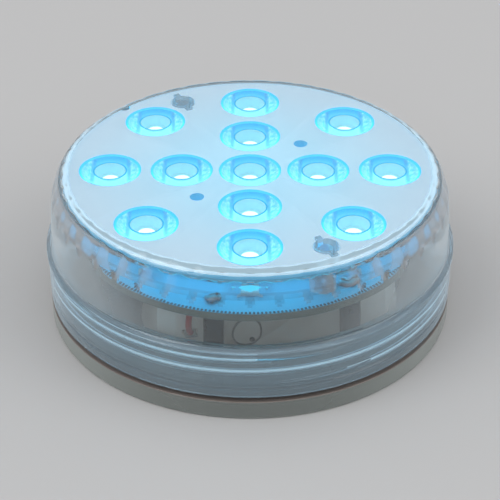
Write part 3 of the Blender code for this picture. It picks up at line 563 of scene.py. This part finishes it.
wellPaintedHotSpot = surface("pmma_well_floor_painted_hot_spot", {  # a painted glow stands in for the LED's image on the well's floor
    "colour": "#f2fcff", "second": "#e4f8ff", "mottleMm": 1.0, "roughness": (0.1, 0.2), "ior": 1.49,
    "grainMm": 0.6, "grain": 0.3, "grainDepthMm": 0.03, "glow": "#d8f6ff",
    "glowStrength": lens["hotGlow"]})[0]
for number, spot in enumerate(cupPlaces, start=1):
    def lensLook(centre, normal, middle=spot):
        away = math.hypot(centre.x - middle.x, centre.y - middle.y)
        if away < well + 0.02 and centre.z > lens["wellFloor"] - 0.2:
            return wellPaintedHotSpot if away < lens["hotRadius"] else wellPaintedLight
        if away < well + 0.35 and centre.z > 30.0:
            return conePaintedLight  # painted shade: the well's rounded rim takes the cone's painted colour, darker than the flat round it
        return lensClear if centre.z > 30.2 else conePaintedLight

    lensPiece = piece(f"lens_clear_{number:02d}", moved(lensMesh, Matrix.Translation(spot)),
                      [lensClear, conePaintedLight, wellPaintedLight, wellPaintedHotSpot], "light_head", [f"lens_{number:02d}"],
                      lensLook)
    fromAxis = lensPiece.data.attributes.new("fromAxis", "FLOAT_VECTOR", "POINT")  # mm from the lens's axis
    for at, vertex in enumerate(lensPiece.data.vertices):
        fromAxis.data[at].vector = vertex.co * 1000.0 - spot

# LEDs: white packages with a lit window
led = {"windowGlow": 7.0, "glowColour": "#8fdcff", "side": 5.0, "height": 1.4, "cut": 0.7, "windowFloor": 1.1,
       "windowRadius": 1.7, "windowReach": 3.2}
half = led["side"] / 2
short = half - led["cut"]
ledBlank = bmesh.new()
ledOutline = [(-half, -half), (half, -half), (half, short), (short, half), (-half, half)]
ledFloor = ledBlank.faces.new([ledBlank.verts.new((x, y, 0.0)) for x, y in ledOutline])
ledPulled = bmesh.ops.extrude_face_region(ledBlank, geom=[ledFloor])["geom"]
bmesh.ops.translate(ledBlank, vec=(0.0, 0.0, led["height"]),
                    verts=[part for part in ledPulled if isinstance(part, bmesh.types.BMVert)])
bmesh.ops.recalc_face_normals(ledBlank, faces=ledBlank.faces)
ledMesh = boolean(eased(meshOf(ledBlank), 0.12), "DIFFERENCE",
                  drum(led["windowRadius"], led["windowFloor"], 3.0, [(0, 0)], 32, led["windowReach"]))
ledWhite = surface("led_ppa", {  # matt white package moulding
    "colour": "#f2f4f4", "second": "#e6ebec", "mottleMm": 1.5, "roughness": (0.35, 0.45), "ior": 1.55,
    "grainMm": 0.2, "grain": 0.2, "grainDepthMm": 0.01})[0]
ledLit = surface("led_window", {  # phosphor under silicone, lit
    "colour": "#bfeaff", "second": "#a8e2ff", "mottleMm": 0.8, "roughness": (0.2, 0.3), "ior": 1.41,
    "grainMm": 0.3, "grain": 0.2, "grainDepthMm": 0.01, "glow": led["glowColour"],
    "glowStrength": led["windowGlow"]})[0]
for number, spot in enumerate(cupPlaces, start=1):
    seat = Matrix.Translation((spot.x, spot.y, boardTop + touchGap))

    def ledLook(centre, normal, middle=spot):
        away = math.hypot(centre.x - middle.x, centre.y - middle.y)
        belowTop = centre.z < boardTop + touchGap + led["height"] - 0.01
        return ledLit if away < 2.0 and belowTop and normal.z > 0.1 else ledWhite

    piece(f"led_lit_{number:02d}", moved(ledMesh, seat), [ledWhite, ledLit], "light_head",
          [f"led_{number:02d}"], ledLook)
print("stage: lenses and LEDs")

# Base cap: smoke-tinted polycarbonate, with the thread on its spigot
base = {"steps": 184, "clear": 0.7, "bloom": (0.2, 0.6, 0.45)}
baseProfile = rounded([
    (0.0, 0.4), (33.4, 0.4, 0.2), (34.0, 0.0, 0.2), (41.8, 0.0, 0.2), (42.1, 0.3, 0.2), (42.1, 4.2, 0.15),
    (39.1, 4.2, 0.1), (39.1, 14.8, 0.2), (38.7, 15.2, 0.2), (37.3, 15.2, 0.2), (37.3, 1.8, 0.4), (0.0, 1.8)])
baseMesh = boolean(revolve(baseProfile[:1] + dense(baseProfile[1:-1], 1.5) + baseProfile[-1:], base["steps"]),
                   "UNION", threadRidge(39.1, 1, 6.9))
baseClear = surface("smoke_polycarbonate", {  # glossy, slightly milky grey-green
    "colour": "#bcc4c0", "second": "#aeb7b3", "mottleMm": 16.0, "roughness": (0.12, 0.2), "ior": 1.58,
    "clear": base["clear"], "bloom": base["bloom"], "grainMm": 3.0, "grain": 0.15, "grainDepthMm": 0.02})[0]
baseRimPaintedShade = surface("smoke_polycarbonate_rim_painted_shade", {  # painted shade and a painted reflection of the brown seal, where the seal beds on the rim
    "colour": "#958a84", "second": "#857b75", "mottleMm": 8.0, "roughness": (0.15, 0.25), "ior": 1.58,
    "clear": 0.3, "grainMm": 3.0, "grain": 0.15, "grainDepthMm": 0.02})[0]
baseThreadPaintedHighlight = surface("smoke_polycarbonate_thread_painted_highlight", {  # pale crests painted as highlight lines
    "colour": "#dbe5e8", "second": "#cad6da", "mottleMm": 8.0, "roughness": (0.08, 0.15), "ior": 1.58,
    "clear": 0.3, "grainMm": 3.0, "grain": 0.15, "grainDepthMm": 0.02})[0]


def baseLook(centre, normal):
    out = math.hypot(centre.x, centre.y)
    if 3.9 < centre.z < 4.3 and out > 39.2:
        return baseRimPaintedShade
    return baseThreadPaintedHighlight if centre.z > 6.0 and out > 39.75 else baseClear


piece("base_smoke", baseMesh, [baseClear, baseRimPaintedShade, baseThreadPaintedHighlight], "base", ["base_cap"], baseLook)

# O-ring: nitrile rubber
seal = {"wire": 0.85, "radius": 40.15, "bottom": 4.5, "steps": 184, "round": 24}
sealSection = [(seal["radius"] + seal["wire"] * math.cos(math.tau * step / seal["round"]),
                seal["bottom"] + seal["wire"] + seal["wire"] * math.sin(math.tau * step / seal["round"]))
               for step in range(seal["round"])]
sealRubber = surface("nitrile_rubber", {  # matt, with a faint greasy sheen
    "colour": "#3d3531", "second": "#312a27", "mottleMm": 3.0, "roughness": (0.5, 0.7), "ior": 1.52,
    "grainMm": 0.3, "grain": 0.3, "grainDepthMm": 0.01})[0]
piece("seal_rubber_ring", revolve(sealSection, seal["steps"]), [sealRubber], "seal", ["o_ring"])
print("stage: base and seal")

# LED board: FR4 under white solder mask, painted blue for the LEDs' light
board = {"radius": 36.8, "edge": "#8f8a78", "mask": "#6cc8e0", "pads": 300, "padRing": 36.5,
         "padSize": (0.5, 0.4, 0.12)}
postSpots = [Matrix.Rotation(math.radians(packTurn), 3, "Z") @ Vector((side * 13.5, end * 30.0, 0.0))
             for end in (-1, 1) for side in (-1, 1)]
boardMesh = boolean(revolve(rounded([(0.0, boardTop), (board["radius"], boardTop, 0.08),
                                     (board["radius"], boardUnder, 0.08), (0.0, boardUnder)]), 184),
                    "DIFFERENCE",
                    drum(1.45, 19.0, 23.0, postSpots + bossSpots + standoffSpots, 32))
boardPaintedBlueLight = surface("white_solder_mask_painted_blue_light", {  # smooth lacquer, slightly wavy; its blue colour is painted LED light
    "colour": board["mask"], "second": "#5cbcd8", "mottleMm": 6.0, "roughness": (0.28, 0.4), "ior": 1.52,
    "grainMm": 1.0, "grain": 0.2, "grainDepthMm": 0.02})[0]
boardEdge = surface("fr4_edge", {  # cut glass-epoxy edge
    "colour": board["edge"], "second": "#7d7868", "mottleMm": 0.8, "roughness": (0.6, 0.8), "ior": 1.52,
    "grainMm": 0.3, "grain": 0.6, "grainDepthMm": 0.05})[0]
piece("board_fr4", boardMesh, [boardPaintedBlueLight, boardEdge], "light_head", ["led_board"],
      lambda centre, normal: boardPaintedBlueLight if abs(normal.z) > 0.5 else boardEdge)

# Battery holder: moulded ABS with darker posts
holder = {"wall": "#e4dace", "post": "#1b1714", "postRadius": 2.15, "edge": 0.35, "stray": 0.07,
          "mark": (-6.8, -29.1, 13.0), "ring": (2.65, 3.0), "gate": 0.5}
holderAbs = surface("holder_abs", {  # light mould texture, with a faint painted glow for stray LED light
    "colour": holder["wall"], "second": "#d0c5b7", "mottleMm": 7.0, "roughness": (0.35, 0.5), "ior": 1.53,
    "grainMm": 0.6, "grain": 0.4, "grainDepthMm": 0.03, "glow": "#d8c8b8",
    "glowStrength": holder["stray"]})[0]
markAbs = surface("holder_abs_mark", {  # darker tone on the moulded ring, glossy as a polished mould insert
    "colour": "#9c9287", "second": "#8c8378", "mottleMm": 3.0, "roughness": (0.2, 0.3), "ior": 1.53,
    "grainMm": 0.6, "grain": 0.2, "grainDepthMm": 0.02})[0]
postAbs = surface("post_abs", {  # glossy black posts
    "colour": holder["post"], "second": "#1e1b19", "mottleMm": 4.0, "roughness": (0.2, 0.3), "ior": 1.53,
    "grainMm": 0.8, "grain": 0.2, "grainDepthMm": 0.02})[0]

# moulded ring and gate mark on the front wall
markPlace = (Matrix.Rotation(math.radians(packTurn), 4, "Z") @ Matrix.Translation(holder["mark"])
             @ Matrix.Rotation(math.radians(90.0), 4, "X"))
markBack = markPlace.inverted()
markIn, markOut = holder["ring"]
holderMark = joined([revolve([(markIn, -0.4), (markOut, -0.4), (markOut, 0.2), (markIn, 0.2)], 48),
                     drum(holder["gate"], -0.4, 0.35, [(1.0, -1.6)], 16)])
holderMark.transform(markPlace)


def holderLook(centre, normal):
    onMark = markBack @ centre
    fromMark = math.hypot(onMark.x, onMark.y)
    if 0.02 < onMark.z < 0.5 and fromMark < markOut + 0.1:
        return markAbs if fromMark > 2.4 else postAbs
    nearPost = any(math.hypot(centre.x - spot.x, centre.y - spot.y) < holder["postRadius"]
                   for spot in postSpots)
    return postAbs if nearPost else holderAbs


piece("holder_abs", boolean(eased(cleaned("battery_holder"), holder["edge"]), "UNION", holderMark),
      [holderAbs, postAbs, markAbs], "light_head", ["battery_holder"], holderLook)
print("stage: board and holder")


# Battery cells: nickel-plated steel cans in printed film
def packPlace(x, y, turn=0.0):
    return (Matrix.Rotation(math.radians(packTurn), 4, "Z") @ Matrix.Translation((x, y, cellAxis))
            @ Matrix.Rotation(math.radians(turn), 4, "Z"))


cell = {"steps": 64, "half": 25.25, "film": "#1d2226", "band": "#b9763a", "bandFrom": 13.0}
cellMesh = revolve(dense(rounded([
    (0.0, cell["half"]), (2.75, cell["half"], 0.3), (2.75, 24.05, 0.2), (6.4, 24.05, 0.3), (7.25, 24.05, 0.5),
    (7.25, -cell["half"], 0.5), (5.6, -25.25, 0.1), (5.3, -25.05, 0.1), (0.0, -25.05)]), 2.0), cell["steps"])
cellMesh.transform(Matrix.Rotation(math.radians(90.0), 4, "X"))
steel = surface("nickel_plated_steel", {  # bright plating with fine rolling marks
    "colour": "#c9c6bf", "second": "#b4b1aa", "mottleMm": 2.0, "roughness": (0.22, 0.35), "metal": 1.0,
    "grainMm": 0.2, "grain": 0.2, "grainDepthMm": 0.01})[0]
cellFilm = surface("cell_film_dark", {  # glossy printed PVC sleeve
    "colour": cell["film"], "second": "#161a1d", "mottleMm": 6.0, "roughness": (0.18, 0.28), "ior": 1.54,
    "coat": 0.3, "grainMm": 2.0, "grain": 0.15, "grainDepthMm": 0.02})[0]
cellBand = surface("cell_film_copper", {  # metallic ink under the sleeve
    "colour": cell["band"], "second": "#a5672f", "mottleMm": 5.0, "roughness": (0.25, 0.35), "metal": 0.6,
    "grainMm": 2.0, "grain": 0.15, "grainDepthMm": 0.02})[0]
for index in range(3):
    side = 1 if index == 1 else -1  # the nubs of the outer cells point to the front
    place = packPlace(cellPitch * (index - 1), side * (nubEnd - cell["half"]), 180.0 if side > 0 else 0.0)
    back = place.inverted()

    def cellLook(centre, normal, back=back):
        spot = back @ centre
        if math.hypot(spot.x, spot.z) < 6.6 or abs((back.to_3x3() @ normal).y) > 0.9:
            return steel
        return cellBand if spot.y < -cell["bandFrom"] else cellFilm

    piece(f"cell_{index + 1}", moved(cellMesh, place), [cellFilm, steel, cellBand], "light_head",
          [f"battery_cell_{index + 1}"], cellLook)


# Geometry Nodes helpers
def newTree(name, inputs):
    # a tree with named inputs and one geometry output; returns the tree, its input node and output node
    tree = bpy.data.node_groups.new(name, "GeometryNodeTree")
    tree.interface.new_socket("Geometry", in_out="OUTPUT", socket_type="NodeSocketGeometry")
    for label, kind in inputs:
        tree.interface.new_socket(label, in_out="INPUT", socket_type=kind)
    return tree, tree.nodes.new("NodeGroupInput"), tree.nodes.new("NodeGroupOutput")


def closeTree(tree, inlet, outlet, geometry):
    smooth = addNode(tree, "GeometryNodeSetShadeSmooth", {"Geometry": geometry})
    real = addNode(tree, "GeometryNodeRealizeInstances", {"Geometry": smooth.outputs["Geometry"]})
    painted = addNode(tree, "GeometryNodeSetMaterial", {"Geometry": real.outputs["Geometry"],
                                                        "Material": inlet.outputs["Material"]})
    tree.links.new(painted.outputs["Geometry"], outlet.inputs["Geometry"])


def grown(tree, values):
    # the plain mesh that a tree makes from those inputs
    holder = bpy.data.objects.new("grown", bpy.data.meshes.new("grown"))
    bpy.context.scene.collection.objects.link(holder)
    modifier = holder.modifiers.new("tree", "NODES")
    modifier.node_group = tree
    for item in tree.interface.items_tree:
        if item.in_out == "INPUT":
            modifier[item.identifier] = values[item.name]
    bpy.context.view_layer.update()
    result = bpy.data.meshes.new_from_object(holder.evaluated_get(bpy.context.evaluated_depsgraph_get()))
    holder.modifiers.clear()
    bpy.data.objects.remove(holder)
    return result


coilTree, coilIn, coilOut = newTree("coil", [
    ("Turns", "NodeSocketFloat"), ("Start Radius", "NodeSocketFloat"), ("End Radius", "NodeSocketFloat"),
    ("Height", "NodeSocketFloat"), ("Wire", "NodeSocketFloat"), ("Material", "NodeSocketMaterial")])
coilCurve = addNode(coilTree, "GeometryNodeCurveSpiral", {
    "Resolution": 48, "Rotations": coilIn.outputs["Turns"], "Start Radius": coilIn.outputs["Start Radius"],
    "End Radius": coilIn.outputs["End Radius"], "Height": coilIn.outputs["Height"]})
coilRing = addNode(coilTree, "GeometryNodeCurvePrimitiveCircle", {"Resolution": 12,
                                                                 "Radius": coilIn.outputs["Wire"]})
coilBody = addNode(coilTree, "GeometryNodeCurveToMesh", {
    "Curve": coilCurve.outputs["Curve"], "Profile Curve": coilRing.outputs["Curve"], "Fill Caps": True})
closeTree(coilTree, coilIn, coilOut, coilBody.outputs["Mesh"])

wireTree, wireIn, wireOut = newTree("wire", [
    ("Start", "NodeSocketVector"), ("Middle", "NodeSocketVector"), ("End", "NodeSocketVector"),
    ("Radius", "NodeSocketFloat"), ("Material", "NodeSocketMaterial")])
wireCurve = addNode(wireTree, "GeometryNodeCurveQuadraticBezier", {
    "Resolution": 24, "Start": wireIn.outputs["Start"], "Middle": wireIn.outputs["Middle"],
    "End": wireIn.outputs["End"]})
wireRing = addNode(wireTree, "GeometryNodeCurvePrimitiveCircle", {"Resolution": 16,
                                                                 "Radius": wireIn.outputs["Radius"]})
wireBody = addNode(wireTree, "GeometryNodeCurveToMesh", {
    "Curve": wireCurve.outputs["Curve"], "Profile Curve": wireRing.outputs["Curve"], "Fill Caps": True})
closeTree(wireTree, wireIn, wireOut, wireBody.outputs["Mesh"])

ringTree, ringIn, ringOut = newTree("ring_of_boxes", [
    ("Count", "NodeSocketInt"), ("Ring", "NodeSocketFloat"), ("Size", "NodeSocketVector"),
    ("Offset", "NodeSocketVector"), ("Turn", "NodeSocketVector"), ("Material", "NodeSocketMaterial")])
ringPoints = addNode(ringTree, "GeometryNodeMeshCircle", {"Vertices": ringIn.outputs["Count"],
                                                          "Radius": ringIn.outputs["Ring"]})
ringBox = addNode(ringTree, "GeometryNodeMeshCube", {"Size": ringIn.outputs["Size"]})
ringShift = addNode(ringTree, "GeometryNodeTransform", {"Geometry": ringBox.outputs["Mesh"],
                                                        "Translation": ringIn.outputs["Offset"]})
ringWhere = addNode(ringTree, "GeometryNodeInputPosition")
ringFace = addNode(ringTree, "FunctionNodeAlignRotationToVector", {"Vector": ringWhere.outputs["Position"]},
                   axis="X", pivot_axis="Z")
ringCopies = addNode(ringTree, "GeometryNodeInstanceOnPoints", {
    "Points": ringPoints.outputs["Mesh"], "Instance": ringShift.outputs["Geometry"],
    "Rotation": ringFace.outputs["Rotation"]})
ringTurned = addNode(ringTree, "GeometryNodeTransform", {"Geometry": ringCopies.outputs["Instances"],
                                                         "Rotation": ringIn.outputs["Turn"]})
closeTree(ringTree, ringIn, ringOut, ringTurned.outputs["Geometry"])

# Contact springs, terminals and links
spring = {"wire": 0.3, "turns": 3.5, "wide": 3.0, "narrow": 2.3, "length": 2.4}
coilMesh = grown(coilTree, {"Turns": spring["turns"], "Start Radius": spring["wide"],
                            "End Radius": spring["narrow"], "Height": spring["length"],
                            "Wire": spring["wire"], "Material": steel})
coilMesh.transform(Matrix.Rotation(math.radians(-90.0), 4, "X"))
for index in range(3):
    side = 1 if index == 1 else -1
    place = packPlace(cellPitch * (index - 1), -side * (nubEnd - spring["wire"]), 0.0 if side > 0 else 180.0)
    piece(f"spring_{index + 1}", moved(coilMesh, place), [steel], "light_head",
          [f"contact_spring_{index + 1}"])
for node in ("positive_terminal", "contact_link_front", "negative_terminal", "contact_link_back"):
    piece(f"{node}_plated", eased(cleaned(node), 0.12), [steel], "light_head", [node])

# Leads; the tin solder for the small parts is made here too
leads = {"radius": 0.6, "across": 18.0, "along": 30.1, "foot": 15.3, "bow": (1.0, 1.5),
         "red": ("#c8281e", "#b8221a"), "black": ("#17181a", "#121315")}
solder = surface("tin_solder", {  # soft shine, slightly grey
    "colour": "#b9bcbf", "second": "#9ea2a6", "mottleMm": 0.6, "roughness": (0.25, 0.4), "metal": 1.0,
    "grainMm": 0.2, "grain": 0.2, "grainDepthMm": 0.01})[0]
for name, side, colours in (("red_lead", -1, leads["red"]), ("black_lead", 1, leads["black"])):
    foot = Vector((side * leads["across"], side * leads["along"], leads["foot"]))
    top = Vector((foot.x, foot.y, boardUnder - touchGap))
    middle = (foot + top) / 2 + Vector((side * leads["bow"][0], side * leads["bow"][1], 0.0))
    skin = surface(f"{name}_pvc", {  # smooth wire insulation
        "colour": colours[0], "second": colours[1], "mottleMm": 3.0, "roughness": (0.3, 0.4), "ior": 1.53,
        "grainMm": 0.5, "grain": 0.15, "grainDepthMm": 0.01})[0]
    wireMesh = grown(wireTree, {"Start": foot, "Middle": middle, "End": top, "Radius": leads["radius"],
                                "Material": skin})
    turnPack = Matrix.Rotation(math.radians(packTurn), 4, "Z")
    piece(f"{name}_wire", moved(wireMesh, turnPack), [skin], "light_head", [name])
print("stage: cells, contacts and leads")

# Screws: zinc-plated steel, cross recess
screws = {"pitch": 0.8, "headHeight": 1.3, "boardHead": 1.8, "boardShank": 0.95, "boardLength": 8.0,
          "coverHead": 1.7, "coverShank": 1.1, "coverLength": 7.5}


def screwMesh(head, shank, length, upsideDown=False):
    height = screws["headHeight"]

    def bend(radius, z, turn):
        if z > -0.2 or radius < shank * 0.6:
            return radius
        ridge = ((z / screws["pitch"] - turn) % 1.0 - 0.5) * 2.0
        return radius - 0.22 * shank * abs(ridge)

    points = rounded([(0.0, height), (head * 0.6, height * 0.92, 0.4), (head, height * 0.35, 0.4),
                      (head, 0.0, 0.08), (shank, 0.0, 0.05), (shank, -length + shank, 0.3), (0.0, -length)])
    made = revolve(points[:1] + dense(points[1:-1], 0.16) + points[-1:], 24, bend)
    arm = head * 0.55
    made = boolean(made, "DIFFERENCE", box((-arm, -0.2, height * 0.45), (arm, 0.2, height + 1.0)),
                   box((-0.2, -arm, height * 0.45), (0.2, arm, height + 1.0)))
    if upsideDown:
        made.transform(Matrix.Rotation(math.pi, 4, "X"))
    return made


zinc = surface("zinc_plated_steel", {  # clear passivated zinc: soft silver
    "colour": "#a9adb2", "second": "#92979d", "mottleMm": 1.2, "roughness": (0.28, 0.42), "metal": 1.0,
    "grainMm": 0.2, "grain": 0.2, "grainDepthMm": 0.01})[0]
boardScrew = screwMesh(screws["boardHead"], screws["boardShank"], screws["boardLength"])
coverScrew = screwMesh(screws["coverHead"], screws["coverShank"], screws["coverLength"], True)
screwSets = [(f"board_screw_{number}", boardScrew, spot, boardTop + touchGap)
             for number, spot in enumerate(postSpots, start=1)]
screwSets += [(f"cover_screw_{number}", coverScrew, spot, boardUnder - touchGap)
              for number, spot in enumerate(bossSpots, start=1)]
for node, shape, spot, seat in screwSets:
    piece(f"{node}_zinc", moved(shape, Matrix.Translation((spot.x, spot.y, seat))), [zinc], "light_head",
          [node])

# Receiver, control chip and small parts on the board
blackPlastic = surface("epoxy_black", {  # moulded epoxy with a light grain
    "colour": "#1a1b1d", "second": "#131416", "mottleMm": 1.5, "roughness": (0.4, 0.55), "ior": 1.55,
    "grainMm": 0.15, "grain": 0.3, "grainDepthMm": 0.01})[0]
piece("receiver_epoxy", eased(cleaned("ir_receiver"), 0.12), [blackPlastic], "light_head", ["ir_receiver"],
      smoothAngle=50.0)
chip = {"middle": -28.5, "bodyHalf": 2.05}
piece("chip_epoxy", eased(cleaned("control_chip"), 0.06), [blackPlastic, solder], "light_head",
      ["control_chip"],
      lambda centre, normal: solder if abs(centre.x - chip["middle"]) > chip["bodyHalf"] else blackPlastic)
parts = {"bodySize": (2.0, 1.2, 0.5), "endSize": (0.4, 1.25, 0.55), "ring": 21.5, "count": 8}
chipZ = boardTop + 0.25
for name, size, shift, look in (("resistor_bodies", parts["bodySize"], 0.0, blackPlastic),
                                ("resistor_ends_in", parts["endSize"], -1.0, solder),
                                ("resistor_ends_out", parts["endSize"], 1.0, solder)):
    ringMesh = grown(ringTree, {"Count": parts["count"], "Ring": parts["ring"], "Size": size,
                                "Offset": (shift, 0.0, chipZ), "Turn": (0.0, 0.0, math.radians(22.5)),
                                "Material": look})
    piece(name, eased(ringMesh, 0.06), [look], "light_head")
edgePads = grown(ringTree, {"Count": board["pads"], "Ring": board["padRing"], "Size": board["padSize"],
                            "Offset": (0.0, 0.0, boardTop + 0.05), "Turn": (0.0, 0.0, 0.0),
                            "Material": blackPlastic})
piece("board_edge_pads", edgePads, [blackPlastic], "light_head")
print("stage: screws and small parts")

# Floor, light and camera
studio = {"floor": "#bebebe", "floorHalf": 1500.0, "floorThick": 20.0, "world": 0.96, "behind": 0.42,
          "behindWay": (0.0, 0.835, 0.55), "worldColour": "#f6f6f7", "aim": (0.0, 0.0, 0.02)}
floorMesh = box((-studio["floorHalf"], -studio["floorHalf"], -studio["floorThick"]),
                (studio["floorHalf"], studio["floorHalf"], 0.0))
floorMesh.transform(Matrix.Scale(0.001, 4))
floor = bpy.data.objects.new("floor", floorMesh)
floorMesh.materials.append(surface("floor_paper", {
    "colour": studio["floor"], "second": "#bcbcbc", "mottleMm": 60.0, "roughness": (0.7, 0.8), "ior": 1.45,
    "grainMm": 2.0, "grain": 0.05, "grainDepthMm": 0.02})[0])
bpy.context.scene.collection.objects.link(floor)

world = bpy.data.worlds.new("studio")
bpy.context.scene.world = world
world.use_nodes = True
backdrop = world.node_tree.nodes["Background"]
backdrop.inputs["Color"].default_value = linear(studio["worldColour"])
# dimmer behind the light, so the flat clear top mirrors little
toBack = addNode(world.node_tree, "ShaderNodeVectorMath", {
    0: addNode(world.node_tree, "ShaderNodeTexCoord").outputs["Generated"], 1: studio["behindWay"]},
    operation="DOT_PRODUCT")
dimmed = addNode(world.node_tree, "ShaderNodeMapRange", {
    "Value": toBack.outputs["Value"], "From Min": 0.8, "From Max": 0.95, "To Min": studio["world"],
    "To Max": studio["behind"]}, interpolation_type="SMOOTHSTEP")
world.node_tree.links.new(dimmed.outputs["Result"], backdrop.inputs["Strength"])


def softbox(name, place, size, power):
    lamp = bpy.data.lights.new(name, "AREA")
    lamp.shape = "DISK"
    lamp.size = size
    lamp.energy = power
    made = bpy.data.objects.new(name, lamp)
    made.location = place
    made.rotation_euler = (Vector(studio["aim"]) - Vector(place)).to_track_quat("-Z", "Y").to_euler()
    bpy.context.scene.collection.objects.link(made)


softbox("key_light", (-0.9, -0.5, 1.2), 1.0, 5.0)
softbox("fill_light", (1.0, -0.4, 0.9), 1.0, 3.0)

view = {"lensMm": 127.4, "sensorMm": 36.0, "place": (0.0, -0.31198, 0.21738), "lookDown": 33.38}
cameraData = bpy.data.cameras.new("camera")
cameraData.lens = view["lensMm"]
cameraData.sensor_width = view["sensorMm"]
camera = bpy.data.objects.new("camera", cameraData)
camera.location = view["place"]
camera.rotation_euler = (math.radians(90.0 - view["lookDown"]), 0.0, 0.0)
bpy.context.scene.collection.objects.link(camera)
bpy.context.scene.camera = camera
bpy.context.scene.view_settings.view_transform = "Standard"
print("stage: floor, light and camera")
